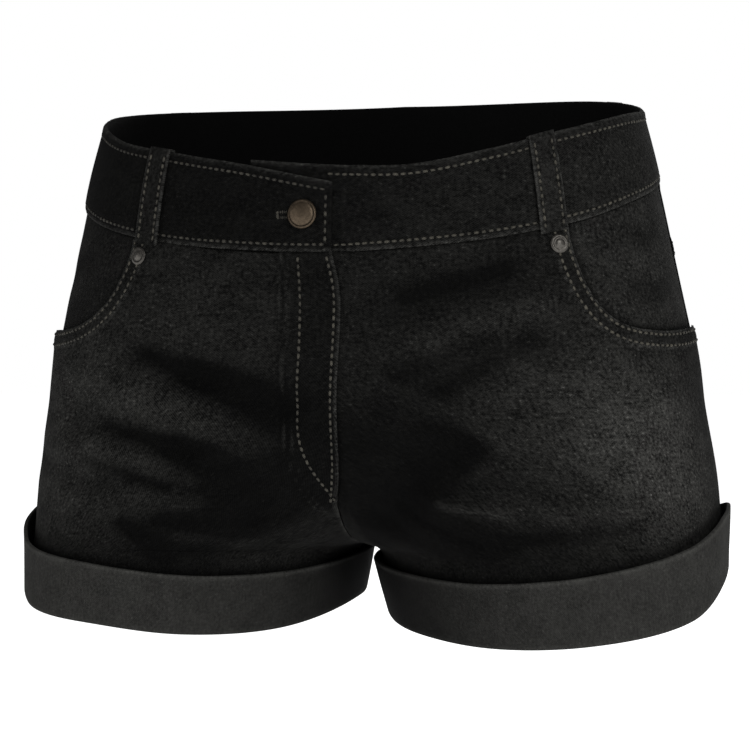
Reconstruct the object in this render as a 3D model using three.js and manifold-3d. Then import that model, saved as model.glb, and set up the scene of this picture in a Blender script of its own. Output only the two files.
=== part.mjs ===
// Low-rise denim shorts with turned-up cuffs, empty but in the shape they take when worn.
// Millimetres. x runs to the viewer's right as the fly faces the viewer, y to the back, z up.
// The origin is the middle of the waist opening, level with the top of the side seams.
import * as THREE from 'three';
import { mergeVertices } from 'three/addons/utils/BufferGeometryUtils.js';
import Module from 'manifold-3d';

// Cloth thicknesses and the gap kept between pieces
const DENIM = 1.2;
const BAND_WALL = 2.5;
const POCKETING = 1.0;
const GAP = 0.3;
const HALF_GAP = GAP / 2;

// Where the pieces are cut apart, as angles round the body and heights
const SIDE_SEAM = 94;
const SEAM_ANGLE = 0.1;

// The crotch, how far up its curve reaches, and how the legs part below it
const CROTCH = -239;
const RISE = { reach: 118, start: 0.75, finish: 1.7 };
const PARTING = { full: 7, over: 2.2, slope: { '-1': 0.09, 1: 0.2 } };
const SQUARENESS = 0.05;

// Girth of the body at each height: half width, depth of front and back, middle of the depth
const SECTIONS = [
  { z: -295, halfWidth: 197, front: 97, back: 103, middle: 8 },
  { z: -245, halfWidth: 193, front: 98, back: 105, middle: 8 },
  { z: -217, halfWidth: 192, front: 99, back: 112, middle: 7 },
  { z: -197, halfWidth: 190, front: 101, back: 119, middle: 5 },
  { z: -168, halfWidth: 185, front: 104, back: 127, middle: 2 },
  { z: -139, halfWidth: 180.3, front: 106, back: 129, middle: 1 },
  { z: -118, halfWidth: 175.7, front: 107, back: 127, middle: 1 },
  { z: -87, halfWidth: 169, front: 106, back: 121, middle: 2 },
  { z: -42, halfWidth: 159.4, front: 103, back: 108, middle: 3 },
  { z: 0, halfWidth: 149.2, front: 97, back: 98, middle: 4 },
  { z: 35, halfWidth: 143.5, front: 93, back: 92, middle: 4 },
];

// Edges that run round the waist, by angle from the middle of the front: the two rims and the band seam
const WAIST_EDGES = [
  { t: -30, rimLeft: -66, rimRight: -34, seam: -80 },
  { t: -15, rimLeft: -58, rimRight: -37.5, seam: -84 },
  { t: 0, rimLeft: -50.2, rimRight: -41.5, seam: -86 },
  { t: 15, rimLeft: -41, rimRight: -42.5, seam: -84 },
  { t: 30, rimLeft: -32.5, rimRight: -34.5, seam: -79 },
  { t: 45, rimLeft: -24, rimRight: -24, seam: -70.5 },
  { t: 65, rimLeft: -9.5, rimRight: -12.5, seam: -56 },
  { t: 90, rimLeft: 3, rimRight: -3.5, seam: -43 },
  { t: 135, rimLeft: 16, rimRight: 14.5, seam: -30 },
  { t: 180, rimLeft: 19, rimRight: 19, seam: -27 },
  { t: 200, rimLeft: 19, rimRight: 19, seam: -27 },
];

// Edges that run round each leg: the fold of the hem and the height of the cuff
const LEG_EDGES = [
  { t: -135, hemLeft: -276, hemRight: -280, cuffLeft: 31, cuffRight: 32.5 },
  { t: -90, hemLeft: -271.5, hemRight: -277.5, cuffLeft: 27.5, cuffRight: 33 },
  { t: -45, hemLeft: -281.5, hemRight: -282, cuffLeft: 31, cuffRight: 32.5 },
  { t: -15, hemLeft: -282.5, hemRight: -284.5, cuffLeft: 31.5, cuffRight: 33 },
  { t: 15, hemLeft: -278.5, hemRight: -282, cuffLeft: 32, cuffRight: 34.5 },
  { t: 50, hemLeft: -273, hemRight: -272.5, cuffLeft: 34, cuffRight: 37.5 },
  { t: 75, hemLeft: -260, hemRight: -258, cuffLeft: 35, cuffRight: 36.5 },
  { t: 100, hemLeft: -254.5, hemRight: -251.5, cuffLeft: 34, cuffRight: 34 },
  { t: 135, hemLeft: -263, hemRight: -261, cuffLeft: 33.5, cuffRight: 33.5 },
  { t: 180, hemLeft: -274, hemRight: -275, cuffLeft: 33, cuffRight: 33 },
  { t: 225, hemLeft: -276, hemRight: -280, cuffLeft: 31, cuffRight: 32.5 },
  { t: 270, hemLeft: -271.5, hemRight: -277.5, cuffLeft: 27.5, cuffRight: 33 },
  { t: 315, hemLeft: -281.5, hemRight: -282, cuffLeft: 31, cuffRight: 32.5 },
];

// Largest folds: a line on the cloth from one angle and height to another, how far it stands out, its width
const FOLDS = [
  { side: -1, fromT: 33, fromZ: -139, toT: -2, toZ: -168, out: -4, width: 10 },
  { side: -1, fromT: 30, fromZ: -148, toT: 2, toZ: -186, out: 2, width: 9 },
  { side: -1, fromT: 46, fromZ: -169, toT: 17, toZ: -185, out: -3, width: 8 },
  { side: -1, fromT: 17, fromZ: -185, toT: -18, toZ: -221, out: -3.5, width: 9 },
  { side: -1, fromT: 66, fromZ: -192, toT: 25, toZ: -207, out: -2.5, width: 7 },
  { side: 1, fromT: 32, fromZ: -101, toT: 12, toZ: -116, out: -2, width: 9 },
  { side: 1, fromT: 36, fromZ: -133, toT: 5, toZ: -171, out: -3, width: 10 },
  { side: 1, fromT: 11, fromZ: -180, toT: -26, toZ: -222, out: -4.5, width: 10 },
  { side: 1, fromT: -4, fromZ: -211, toT: 24, toZ: -218, out: 2.5, width: 7 },
  { side: 1, fromT: 62, fromZ: -160, toT: 34, toZ: -186, out: 2, width: 10 },
  { side: -1, fromT: 150, fromZ: -217, toT: 205, toZ: -230, out: -3.5, width: 7 },
  { side: 1, fromT: 146, fromZ: -218, toT: 200, toZ: -230, out: -3.5, width: 7 },
];
const ARC_PER_DEGREE = 1.95;

// Folds grow from nothing to their full height between these distances from each edge
const CALM = { band: [2, 14], cuff: [1, 13], centre: [5, 17] };

// Front pocket: the scooped mouth of each side, the hip piece behind it and the bag inside
const MOUTHS = {
  '-1': { start: 38, low: -123, end: -121, turn: 9, gape: 2.8 },
  1: { start: 42.7, low: -125, end: -120.5, turn: 12, gape: 1.5 },
};
const MOUTH_FALL = 1.6;
const MOUTH_END_FROM = 62;
const MOUTH_LIFT = 0.9;
const MOUTH_SEAT = { angles: [-17, -8], below: [8, 32] };
const MOUTH_GAPE = { angle: 80, spread: 10, reach: 26 };
const HIP_LAP = 4;
const HIP_LOW = -133;
const HIP_OUT = MOUTH_LIFT - DENIM - 0.65;
const BAG_FROM = 26;
const BAG_LOW = -176;
const BAG_FALL = { depth: 2.4, over: 0.3 };
const BAG_CORNER = { height: 26, sharpness: 4 };

// Fly: the flap of the viewer's-left front, its facing, the zip and the shield behind
const FLY_EDGES = [
  { z: -213, x: -HALF_GAP },
  { z: -192, x: 4 },
  { z: -156, x: 6 },
  { z: -122, x: 8.5 },
  { z: -105, x: 8.2 },
  { z: -86, x: 3.8 },
];
const FLY_SPREAD = 8;
const FLY_WIDTH = 21.5;
const FLY_TURN = -168;
const FLY_END = -221;
const FLY_LIFT = 1.9;
const FLY_RISE = { around: [-3, 2], above: [-4, 6] };
const ZIP_END = -190;
const FLY_CLEAR = 0.6;
const FACING_OUT = -DENIM - FLY_CLEAR;
const ZIP_OUT = FACING_OUT - POCKETING - FLY_CLEAR;
const SHIELD_OUT = ZIP_OUT - DENIM - FLY_CLEAR;
const SLIDER = { wall: 2.4, top: 5, length: 9 };

// Waistband ends: how far the one under the button reaches and how far the two part
const LAP_END = 3.5;
const UNDERLAP = 43;
const LAP_SHIFT = 1.5;
const LAP_ANGLES = [16, 26];
const UNDERLAP_ANGLES = [2, 8];
const LAP_HEIGHT = -66;
const BAND_OUT = 1.3;
const BAND_TUCK = 0.9;
const BAND_CLEAR = 0.4;
const BAND_EDGE = { down: 0.8, round: 0.7 };
const BAND_BELLY = 0.3;

// Belt loops, button and rivets
const LOOP_WIDTH = 14;
const LOOP_WALL = 1.4;
const LOOP_TAIL = 2.4;
const LOOP_SEAT = BAND_OUT + BAND_BELLY + GAP;
const LOOP_PATH = [
  { share: 0, out: 0 },
  { share: 0.25, out: 0.6 },
  { share: 0.6, out: 0.7 },
];
const LOOP_TOP = { hooked: 3, flush: 0.6, bend: 0.4 };
const LOOPS = [
  { name: 'belt_loop_front_left', side: -1, t: 34.4, hooked: true },
  { name: 'belt_loop_front_right', side: 1, t: 39.8, hooked: true },
  { name: 'belt_loop_back_left', side: -1, t: 122, hooked: false },
  { name: 'belt_loop_back_right', side: 1, t: 122, hooked: false },
  { name: 'belt_loop_back_middle', side: 1, t: 180, hooked: false },
];
const BUTTON = { x: -11, z: -67.3, hole: 2.7 };
const BUTTON_PROFILE = [
  { radius: 0, height: GAP - BAND_WALL },
  { radius: 2.2, height: GAP - BAND_WALL },
  { radius: 2.2, height: 0.6 },
  { radius: 6.3, height: 0.6 },
  { radius: 7.5, height: 1.3 },
  { radius: 7.5, height: 2.1 },
  { radius: 6.8, height: 2.8 },
  { radius: 6, height: 2.6 },
  { radius: 4.9, height: 3 },
  { radius: 2.2, height: 3.5 },
  { radius: 0, height: 3.6 },
];
const RIVETS = { '-1': { t: 36, z: -85.2 }, 1: { t: 40.5, z: -82.3 } };
const RIVET_PROFILE = [
  { radius: 0, height: 0 },
  { radius: 4.8, height: 0 },
  { radius: 4.8, height: 0.5 },
  { radius: 3.8, height: 1 },
  { radius: 2.7, height: 0.8 },
  { radius: 1.6, height: 1.4 },
  { radius: 0, height: 1.8 },
];

// Back: the yoke seam and the patch pockets
const YOKE_SIDE = -72;
const YOKE_BACK = -98;
const BACK_POCKET = { middle: 139, halfTurn: 24.3, taper: 0.9, top: -108, slant: 6, side: -192, point: -206 };

// Cuff: its section as a hook, out from the leg and up from the hem, with a share of the cuff's height
const CUFF_SECTION = [
  { out: -1.4, up: 0.5, share: 0 },
  { out: 0.6, up: 0, share: 0 },
  { out: 2.4, up: 0.5, share: 0 },
  { out: 3.4, up: 3, share: 0 },
  { out: 4.6, up: 0, share: 0.55 },
  { out: 5.4, up: -1, share: 1 },
  { out: 4.6, up: 0, share: 1 },
  { out: 3.2, up: -0.4, share: 1 },
  { out: 2.2, up: 0, share: 0.55 },
  { out: 1, up: 3, share: 0 },
  { out: 0.7, up: 1.35, share: 0 },
  { out: -1.4, up: 1.35, share: 0 },
];
const HEM_CLEAR = 1.9;

// Steps along the cloth, and how far they crowd together towards the start of each row or column
const FRONT_STEPS = { centre: 10, mouth: 12, rise: 12, leg: 3 };
const CROWDING = { centre: 1.35, mouth: 1.6, rise: 1.6, leg: 1.3, band: 1.15 };
const BACK_STEPS = { across: 20, rise: 9, leg: 3 };
const CUFF_STEPS = 44;
const BAND_STEPS = 46;

const COLOURS = { denim: 0x3a3a3b, faded: 0x444444, pocketing: 0x2b2b2c, copper: 0x8f7a66, nickel: 0x77736c };
const wasm = await Module();
wasm.setup();
const shorts = new THREE.Group();

const radians = THREE.MathUtils.degToRad;
const mix = THREE.MathUtils.lerp;
const ease = (x, from, to) => THREE.MathUtils.smoothstep(x, from, to);

// A smooth curve through one column of a table
function through(rows, key, column) {
  const slopes = rows.map((row, i) => {
    const before = rows[Math.max(i - 1, 0)];
    const after = rows[Math.min(i + 1, rows.length - 1)];
    return (after[column] - before[column]) / (after[key] - before[key]);
  });
  return (x) => {
    let i = rows.findIndex((row) => row[key] > x) - 1;
    if (i < 0) i = x < rows[0][key] ? 0 : rows.length - 2;
    const width = rows[i + 1][key] - rows[i][key];
    const s = THREE.MathUtils.clamp((x - rows[i][key]) / width, 0, 1);
    const start = (1 + 2 * s) * (1 - s) ** 2 * rows[i][column] + s * (1 - s) ** 2 * width * slopes[i];
    const end = s * s * (3 - 2 * s) * rows[i + 1][column] + s * s * (s - 1) * width * slopes[i + 1];
    return start + end;
  };
}

const halfWidth = through(SECTIONS, 'z', 'halfWidth');
const frontDepth = through(SECTIONS, 'z', 'front');
const backDepth = through(SECTIONS, 'z', 'back');
const middle = through(SECTIONS, 'z', 'middle');
const seam = through(WAIST_EDGES, 't', 'seam');
const rim = { '-1': through(WAIST_EDGES, 't', 'rimLeft'), 1: through(WAIST_EDGES, 't', 'rimRight') };
const hem = { '-1': through(LEG_EDGES, 't', 'hemLeft'), 1: through(LEG_EDGES, 't', 'hemRight') };
// The flap's edge is back at the centre before its cloth comes down to the other front's level
const flyEdge = through(FLY_EDGES, 'z', 'x');
const cuffHeight = { '-1': through(LEG_EDGES, 't', 'cuffLeft'), 1: through(LEG_EDGES, 't', 'cuffRight') };

// Each side is half of an oval at the waist. From the hips down its centre moves out to the leg,
// until at the crotch the oval closes on itself and the two legs part.
function oval(side, z, straightLegs) {
  const width = halfWidth(z);
  const below = CROTCH - z;
  let centre;
  if (below <= 0 && !straightLegs) {
    const risen = Math.min(-below / RISE.reach, 1);
    const closed = (1 - risen ** RISE.start) ** RISE.finish;
    centre = width * closed / (1 + closed) + closed * HALF_GAP / 2;
  } else {
    const opened = straightLegs ? 1 : 1 - Math.exp(-below / PARTING.over);
    centre = (width + Math.max(PARTING.full * opened + PARTING.slope[side] * below, HALF_GAP)) / 2;
  }
  return { centre, across: width - centre, front: frontDepth(z), back: backDepth(z), middle: middle(z) };
}

function barePoint(side, t, z, straightLegs) {
  const { centre, across, front, back, middle: y } = oval(side, z, straightLegs);
  const angle = radians(t);
  const squarer = Math.sin(angle) > 0 ? 1 + SQUARENESS * Math.sin(2 * angle) ** 2 : 1;
  const depth = Math.cos(angle) > 0 ? front : back;
  const x = centre + across * Math.sin(angle) * squarer;
  return new THREE.Vector3(side * x, y - depth * Math.cos(angle) * squarer, z);
}

function bareNormal(side, t, z, straightLegs) {
  const round = barePoint(side, t + 0.5, z, straightLegs).sub(barePoint(side, t - 0.5, z, straightLegs));
  const up = barePoint(side, t, z + 0.5, straightLegs).sub(barePoint(side, t, z - 0.5, straightLegs));
  return round.cross(up).multiplyScalar(side).normalize();
}

const FLY_TOP = seam(0) - HALF_GAP;

// How far the folds push the cloth out at a point, fading at the seams, the cuffs and the centre
function foldAt(side, t, z) {
  let total = 0;
  for (const fold of FOLDS.filter((row) => row.side === side)) {
    const alongT = (fold.toT - fold.fromT) * ARC_PER_DEGREE;
    const alongZ = fold.toZ - fold.fromZ;
    const awayT = (t - fold.fromT) * ARC_PER_DEGREE;
    const awayZ = z - fold.fromZ;
    const s = THREE.MathUtils.clamp((awayT * alongT + awayZ * alongZ) / (alongT ** 2 + alongZ ** 2), 0, 1);
    const distance = Math.hypot(awayT - s * alongT, awayZ - s * alongZ);
    total += fold.out * Math.exp(-((distance / fold.width) ** 2));
  }
  const belowBand = ease(seam(Math.min(Math.abs(t), 180)) - z, ...CALM.band);
  const aboveCuff = ease(z - hem[side](t) - cuffHeight[side](t), ...CALM.cuff);
  const fromCentre = ease(Math.abs(barePoint(side, t, z).x), ...CALM.centre);
  return total * belowBand * aboveCuff * fromCentre;
}

function onCloth(side, t, z, out) {
  const move = out + foldAt(side, t, z);
  return barePoint(side, t, z).addScaledVector(bareNormal(side, t, z), move);
}

// The angle at which one side's cloth reaches a distance x from the centre plane, on the front
function angleAt(z, x) {
  const { centre, across } = oval(-1, z);
  return -THREE.MathUtils.radToDeg(Math.asin(THREE.MathUtils.clamp((centre - x) / across, -1, 1)));
}

function frontStart(z, x = HALF_GAP) {
  return Math.max(angleAt(z, x), -90 + SEAM_ANGLE);
}

function backEnd(z) {
  return 180 - frontStart(z);
}

// Makes a named mesh from points and triangles, with its faces turned outwards
function addPiece(name, points, triangles, colour, metalness = 0) {
  let volume = 0;
  for (const [a, b, c] of triangles) {
    volume += points[a].dot(points[b].clone().cross(points[c]));
  }
  const turned = volume < 0 ? triangles.map(([a, b, c]) => [a, c, b]) : triangles;
  const geometry = new THREE.BufferGeometry();
  const flat = points.flatMap((point) => point.toArray());
  geometry.setAttribute('position', new THREE.Float32BufferAttribute(flat, 3));
  geometry.setIndex(turned.flat());
  return addMesh(name, geometry, colour, metalness);
}

function addMesh(name, geometry, colour, metalness) {
  const roughness = metalness > 0 ? 0.45 : 0.9;
  const material = new THREE.MeshStandardMaterial({ color: colour, roughness, metalness });
  const mesh = new THREE.Mesh(geometry, material);
  mesh.name = name;
  shorts.add(mesh);
  return mesh;
}

// A sheet of cloth: outer and inner points on a grid of columns and rows, closed round its four edges
function sheetTriangles(columns, rows) {
  const outer = (i, j) => i * rows + j;
  const inner = (i, j) => columns * rows + i * rows + j;
  const triangles = [];
  const quad = (a, b, c, d) => triangles.push([a, b, c], [a, c, d]);
  for (let i = 0; i < columns - 1; i += 1) {
    for (let j = 0; j < rows - 1; j += 1) {
      quad(outer(i, j), outer(i + 1, j), outer(i + 1, j + 1), outer(i, j + 1));
      quad(inner(i, j), inner(i, j + 1), inner(i + 1, j + 1), inner(i + 1, j));
    }
    quad(outer(i, 0), inner(i, 0), inner(i + 1, 0), outer(i + 1, 0));
    quad(outer(i, rows - 1), outer(i + 1, rows - 1), inner(i + 1, rows - 1), inner(i, rows - 1));
  }
  for (let j = 0; j < rows - 1; j += 1) {
    quad(outer(0, j), outer(0, j + 1), inner(0, j + 1), inner(0, j));
    quad(outer(columns - 1, j), inner(columns - 1, j), inner(columns - 1, j + 1), outer(columns - 1, j + 1));
  }
  return triangles;
}

// place(i, j) gives { side, t, z, out }: the spot on the body and how far out the outer face lies
function addSheet(name, columns, rows, wall, colour, place) {
  const outer = [];
  const inner = [];
  for (let i = 0; i < columns; i += 1) {
    for (let j = 0; j < rows; j += 1) {
      const { side, t, z, out } = place(i, j);
      outer.push(onCloth(side, t, z, out));
      inner.push(onCloth(side, t, z, out - wall));
    }
  }
  return addPiece(name, [...outer, ...inner], sheetTriangles(columns, rows), colour);
}

// The pocket mouth: a scoop that leaves the band seam steeply and runs almost level to the side seam
function mouthAt(side, t) {
  const { start, low, end, turn } = MOUTHS[side];
  const across = THREE.MathUtils.clamp((SIDE_SEAM - t) / (SIDE_SEAM - start), 0, 1);
  const drop = (1 - across ** turn) ** (1 / MOUTH_FALL);
  return mix(seam(start) - HALF_GAP, low, drop) + (end - low) * ease(t, MOUTH_END_FROM, SIDE_SEAM);
}

function mouthLift(side, t, z) {
  const { start, low, gape } = MOUTHS[side];
  const along = Math.exp(-(((t - MOUTH_GAPE.angle) / MOUTH_GAPE.spread) ** 2));
  const below = 1 - ease(low - z, 0, MOUTH_GAPE.reach);
  const seated = MOUTH_LIFT * ease(t - start, ...MOUTH_SEAT.angles) * (1 - ease(HIP_LOW - z, ...MOUTH_SEAT.below));
  return seated + gape * along * below;
}

// The curved end of the fly, as the distance of its stitching from the centre plane
function flyLine(z) {
  const turned = THREE.MathUtils.clamp((FLY_TURN - z) / (FLY_TURN - FLY_END), 0, 1);
  return -FLY_WIDTH * Math.sqrt(1 - turned ** 2);
}

// Past the centre the flap also rises by as much as the other front stands above its own oval
function flyLift(t, z) {
  const { x, y } = barePoint(-1, t, z);
  const other = x > 0 ? Math.max(y - barePoint(1, angleAt(z, x), z).y, 0) : 0;
  return other + FLY_LIFT * ease(x - flyLine(z), ...FLY_RISE.around) * ease(z - FLY_END, ...FLY_RISE.above);
}

// Rows run close together near the crotch, where the rise curves under
function rowHeight(top, bottom, j, steps) {
  if (j <= steps.rise) return mix(CROTCH, top, (1 - j / steps.rise) ** CROWDING.rise);
  return mix(CROTCH, bottom, ((j - steps.rise) / steps.leg) ** CROWDING.leg);
}

// Columns run close together where the pocket mouth drops from the band
function mouthColumn(side, k) {
  return mix(MOUTHS[side].start, SIDE_SEAM - SEAM_ANGLE, (k / FRONT_STEPS.mouth) ** CROWDING.mouth);
}

function frontColumn(side, i) {
  const { centre } = FRONT_STEPS;
  return i <= centre ? MOUTHS[side].start * (i / centre) ** CROWDING.centre : mouthColumn(side, i - centre);
}

function addFront(name, side) {
  const columns = FRONT_STEPS.centre + FRONT_STEPS.mouth + 1;
  const rows = FRONT_STEPS.rise + FRONT_STEPS.leg + 1;
  addSheet(name, columns, rows, DENIM, COLOURS.denim, (i, j) => {
    const column = frontColumn(side, i);
    const share = column / (SIDE_SEAM - SEAM_ANGLE);
    const top = i <= FRONT_STEPS.centre ? seam(column) - HALF_GAP : mouthAt(side, column);
    const bottom = hem[side](mix(-90, SIDE_SEAM, share)) + HEM_CLEAR;
    const z = rowHeight(top, bottom, j, FRONT_STEPS);
    const flap = side < 0 ? frontStart(z, -flyEdge(z)) - frontStart(z) : 0;
    const t = mix(frontStart(z), SIDE_SEAM - SEAM_ANGLE, share) + flap * (1 - share) ** FLY_SPREAD;
    const out = mouthLift(side, t, z) + (side < 0 ? flyLift(t, z) : 0);
    return { side, t, z, out };
  });
}

function yokeSeam(t) {
  return mix(YOKE_SIDE, YOKE_BACK, THREE.MathUtils.clamp((t - SIDE_SEAM) / (180 - SIDE_SEAM), 0, 1));
}

function addBack(name, side) {
  const columns = BACK_STEPS.across + 1;
  const rows = BACK_STEPS.rise + BACK_STEPS.leg + 1;
  addSheet(name, columns, rows, DENIM, COLOURS.denim, (i, j) => {
    const share = i / BACK_STEPS.across;
    const top = yokeSeam(mix(SIDE_SEAM, 180, share)) - HALF_GAP;
    const bottom = hem[side](mix(SIDE_SEAM, 270, share)) + HEM_CLEAR;
    const z = rowHeight(top, bottom, j, BACK_STEPS);
    return { side, t: mix(SIDE_SEAM + SEAM_ANGLE, backEnd(z), share), z, out: 0 };
  });
}

function addYoke(name, side) {
  const columns = 13;
  const rows = 4;
  addSheet(name, columns, rows, DENIM, COLOURS.denim, (i, j) => {
    const t = mix(SIDE_SEAM + SEAM_ANGLE, 180 - SEAM_ANGLE, i / (columns - 1));
    const z = mix(seam(t) - HALF_GAP, yokeSeam(t) + HALF_GAP, j / (rows - 1));
    return { side, t, z, out: 0 };
  });
}

function addHipPiece(name, side) {
  const columns = FRONT_STEPS.mouth + 2;
  const rows = 7;
  addSheet(name, columns, rows, POCKETING, COLOURS.denim, (i, j) => {
    const t = i === 0 ? MOUTHS[side].start - HIP_LAP : mouthColumn(side, i - 1);
    const z = mix(seam(t) - HALF_GAP, HIP_LOW, j / (rows - 1));
    return { side, t, z, out: HIP_OUT };
  });
}

// The bag hangs inside the hip piece and rounds off at its lower corners
function addPocketBag(name, side) {
  const columns = 11;
  const rows = 8;
  const under = HIP_OUT - POCKETING - GAP;
  addSheet(name, columns, rows, POCKETING, COLOURS.pocketing, (i, j) => {
    const across = i / (columns - 1);
    const t = mix(BAG_FROM, SIDE_SEAM - 1, across);
    const low = BAG_LOW + BAG_CORNER.height * Math.abs(2 * across - 1) ** BAG_CORNER.sharpness;
    const z = mix(seam(t) - HALF_GAP, low, j / (rows - 1));
    return { side, t, z, out: under - BAG_FALL.depth * ease(j / (rows - 1), 0, BAG_FALL.over) };
  });
}

// A strip down the centre front, between two distances from the centre plane
function addFlyStrip({ name, from, to, top = FLY_TOP, end = ZIP_END, out, wall, colour }) {
  const columns = 5;
  const rows = 9;
  addSheet(name, columns, rows, wall, colour, (i, j) => {
    const x = mix(from, to, i / (columns - 1));
    const z = mix(top, end, j / (rows - 1));
    return { side: -1, t: angleAt(z, -x), z, out };
  });
}

// The waistband: one strip from the buttonhole end, round the back, to the end under it
function bandSpot(share) {
  const along = share * 2;
  if (along <= 1) {
    const t = mix(angleAt(LAP_HEIGHT, -LAP_END), 180, along ** CROWDING.band);
    const lift = LAP_SHIFT * (1 - ease(t, ...LAP_ANGLES));
    return { side: -1, t, high: rim['-1'](t), low: seam(t) + BAND_CLEAR, out: BAND_OUT + lift };
  }
  const t = mix(-angleAt(LAP_HEIGHT, UNDERLAP), 180, (2 - along) ** CROWDING.band);
  const back = LAP_SHIFT * (1 - ease(t, ...UNDERLAP_ANGLES));
  return { side: 1, t, high: rim['1'](t), low: seam(t) + BAND_CLEAR, out: BAND_OUT - back };
}

function bandPoint(spot, z, out) {
  return barePoint(spot.side, spot.t, z).addScaledVector(bareNormal(spot.side, spot.t, z), out);
}

// Closes a row of section loops into a solid, either as a ring or with flat ends
function addLoft(name, loops, ring, colour) {
  const count = loops[0].length;
  const triangles = [];
  const at = (i, j) => (i % loops.length) * count + (j % count);
  for (let i = 0; i < (ring ? loops.length : loops.length - 1); i += 1) {
    for (let j = 0; j < count; j += 1) {
      triangles.push([at(i, j), at(i + 1, j), at(i + 1, j + 1)], [at(i, j), at(i + 1, j + 1), at(i, j + 1)]);
    }
  }
  if (!ring) {
    for (let j = 0; j < count / 2 - 1; j += 1) {
      const a = j;
      const b = j + 1;
      const c = count - 2 - j;
      const d = count - 1 - j;
      const last = (loops.length - 1) * count;
      triangles.push([a, b, c], [a, c, d], [last + a, last + c, last + b], [last + a, last + d, last + c]);
    }
  }
  return addPiece(name, loops.flat(), triangles, colour);
}

function solidOf(geometry) {
  const vertProperties = new Float32Array(geometry.attributes.position.array);
  const triVerts = new Uint32Array(geometry.index.array);
  const mesh = new wasm.Mesh({ numProp: 3, vertProperties, triVerts });
  return new wasm.Manifold(mesh);
}

function geometryOf(solid) {
  const { vertProperties, triVerts } = solid.getMesh();
  const geometry = new THREE.BufferGeometry();
  geometry.setAttribute('position', new THREE.Float32BufferAttribute(vertProperties, 3));
  geometry.setIndex([...triVerts]);
  return geometry;
}

// A turned piece such as a button, standing out from the cloth at a point along the cloth's normal
function addTurned(name, profile, sides, base, normal, colour) {
  const points = profile.map(({ radius, height }) => new THREE.Vector2(radius, height));
  const mesh = addMesh(name, new THREE.LatheGeometry(points, sides), colour, 0.9);
  mesh.position.copy(base);
  mesh.quaternion.setFromUnitVectors(new THREE.Vector3(0, 1, 0), normal);
}

function addWaistband() {
  const loops = [];
  for (let i = 0; i <= 2 * BAND_STEPS; i += 1) {
    const spot = bandSpot(i / (2 * BAND_STEPS));
    const inner = spot.out - BAND_WALL;
    const centre = (spot.high + spot.low) / 2;
    loops.push([
      bandPoint(spot, spot.low, spot.out - BAND_TUCK),
      bandPoint(spot, mix(spot.low, spot.high, 0.15), spot.out),
      bandPoint(spot, centre, spot.out + BAND_BELLY),
      bandPoint(spot, spot.high - BAND_EDGE.down, spot.out),
      bandPoint(spot, spot.high, spot.out - BAND_EDGE.round),
      bandPoint(spot, spot.high, inner + BAND_EDGE.round),
      bandPoint(spot, spot.high - BAND_EDGE.down, inner),
      bandPoint(spot, centre, inner),
      bandPoint(spot, mix(spot.low, spot.high, 0.15), inner),
      bandPoint(spot, spot.low, inner),
    ]);
  }
  const band = addLoft('waistband', loops, false, COLOURS.denim);
  const drill = new THREE.CylinderGeometry(BUTTON.hole, BUTTON.hole, BAND_WALL + 2 * GAP, 16);
  drill.deleteAttribute('normal');
  drill.deleteAttribute('uv');
  const hole = mergeVertices(drill);
  hole.applyQuaternion(new THREE.Quaternion().setFromUnitVectors(new THREE.Vector3(0, 1, 0), bandNormal()));
  hole.translate(...onBand(BAND_OUT + LAP_SHIFT - BAND_WALL / 2 + HALF_GAP).toArray());
  band.geometry = geometryOf(solidOf(band.geometry).subtract(solidOf(hole)));
}

function onBand(out) {
  return barePoint(-1, angleAt(BUTTON.z, -BUTTON.x), BUTTON.z).addScaledVector(bandNormal(), out);
}

function bandNormal() {
  return bareNormal(-1, angleAt(BUTTON.z, -BUTTON.x), BUTTON.z);
}

// A plain domed button with a rolled edge, its shank through the hole in the band
function addButton() {
  const face = BAND_OUT + LAP_SHIFT + BAND_BELLY;
  addTurned('waist_button', BUTTON_PROFILE, 28, onBand(face), bandNormal(), COLOURS.copper);
}

function addRivet(name, side) {
  const { t, z } = RIVETS[side];
  const base = onCloth(side, t, z, MOUTH_LIFT + GAP + HALF_GAP);
  addTurned(name, RIVET_PROFILE, 20, base, bareNormal(side, t, z), COLOURS.nickel);
}

// A belt loop: a strip over the band, tacked below the seam. The front ones are folded over the rim.
function addBeltLoop({ name, side, t, hooked }) {
  const columns = 4;
  const z = (rim[side](t) + seam(t)) / 2;
  const perDegree = barePoint(side, t + 0.5, z).distanceTo(barePoint(side, t - 0.5, z));
  const halfTurn = LOOP_WIDTH / 2 / perDegree;
  const outer = [];
  const inner = [];
  for (let i = 0; i < columns; i += 1) {
    const angle = t + mix(-halfTurn, halfTurn, i / (columns - 1));
    const folded = angle > 180 ? 360 - angle : angle;
    const high = rim[side](folded);
    const low = seam(folded) - LOOP_TAIL;
    const at = (height, out) => barePoint(side, angle, height)
      .addScaledVector(bareNormal(side, angle, height), out);
    LOOP_PATH.forEach((row) => {
      outer.push(at(mix(low, high, row.share), LOOP_SEAT + row.out + LOOP_WALL));
      inner.push(at(mix(low, high, row.share), LOOP_SEAT + row.out));
    });
    const top = high - (hooked ? LOOP_TOP.hooked : LOOP_TOP.flush);
    outer.push(at(top, LOOP_SEAT + LOOP_WALL));
    inner.push(at(top, LOOP_SEAT));
    if (!hooked) continue;
    outer.push(at(high + 3 * GAP, LOOP_SEAT + LOOP_WALL - LOOP_TOP.bend));
    inner.push(at(high + GAP, LOOP_SEAT));
    outer.push(at(high + GAP + LOOP_WALL, BAND_OUT - BAND_WALL));
    inner.push(at(high + GAP, BAND_OUT - BAND_WALL));
  }
  const rows = outer.length / columns;
  addPiece(name, [...outer, ...inner], sheetTriangles(columns, rows), COLOURS.faded);
}

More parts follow.
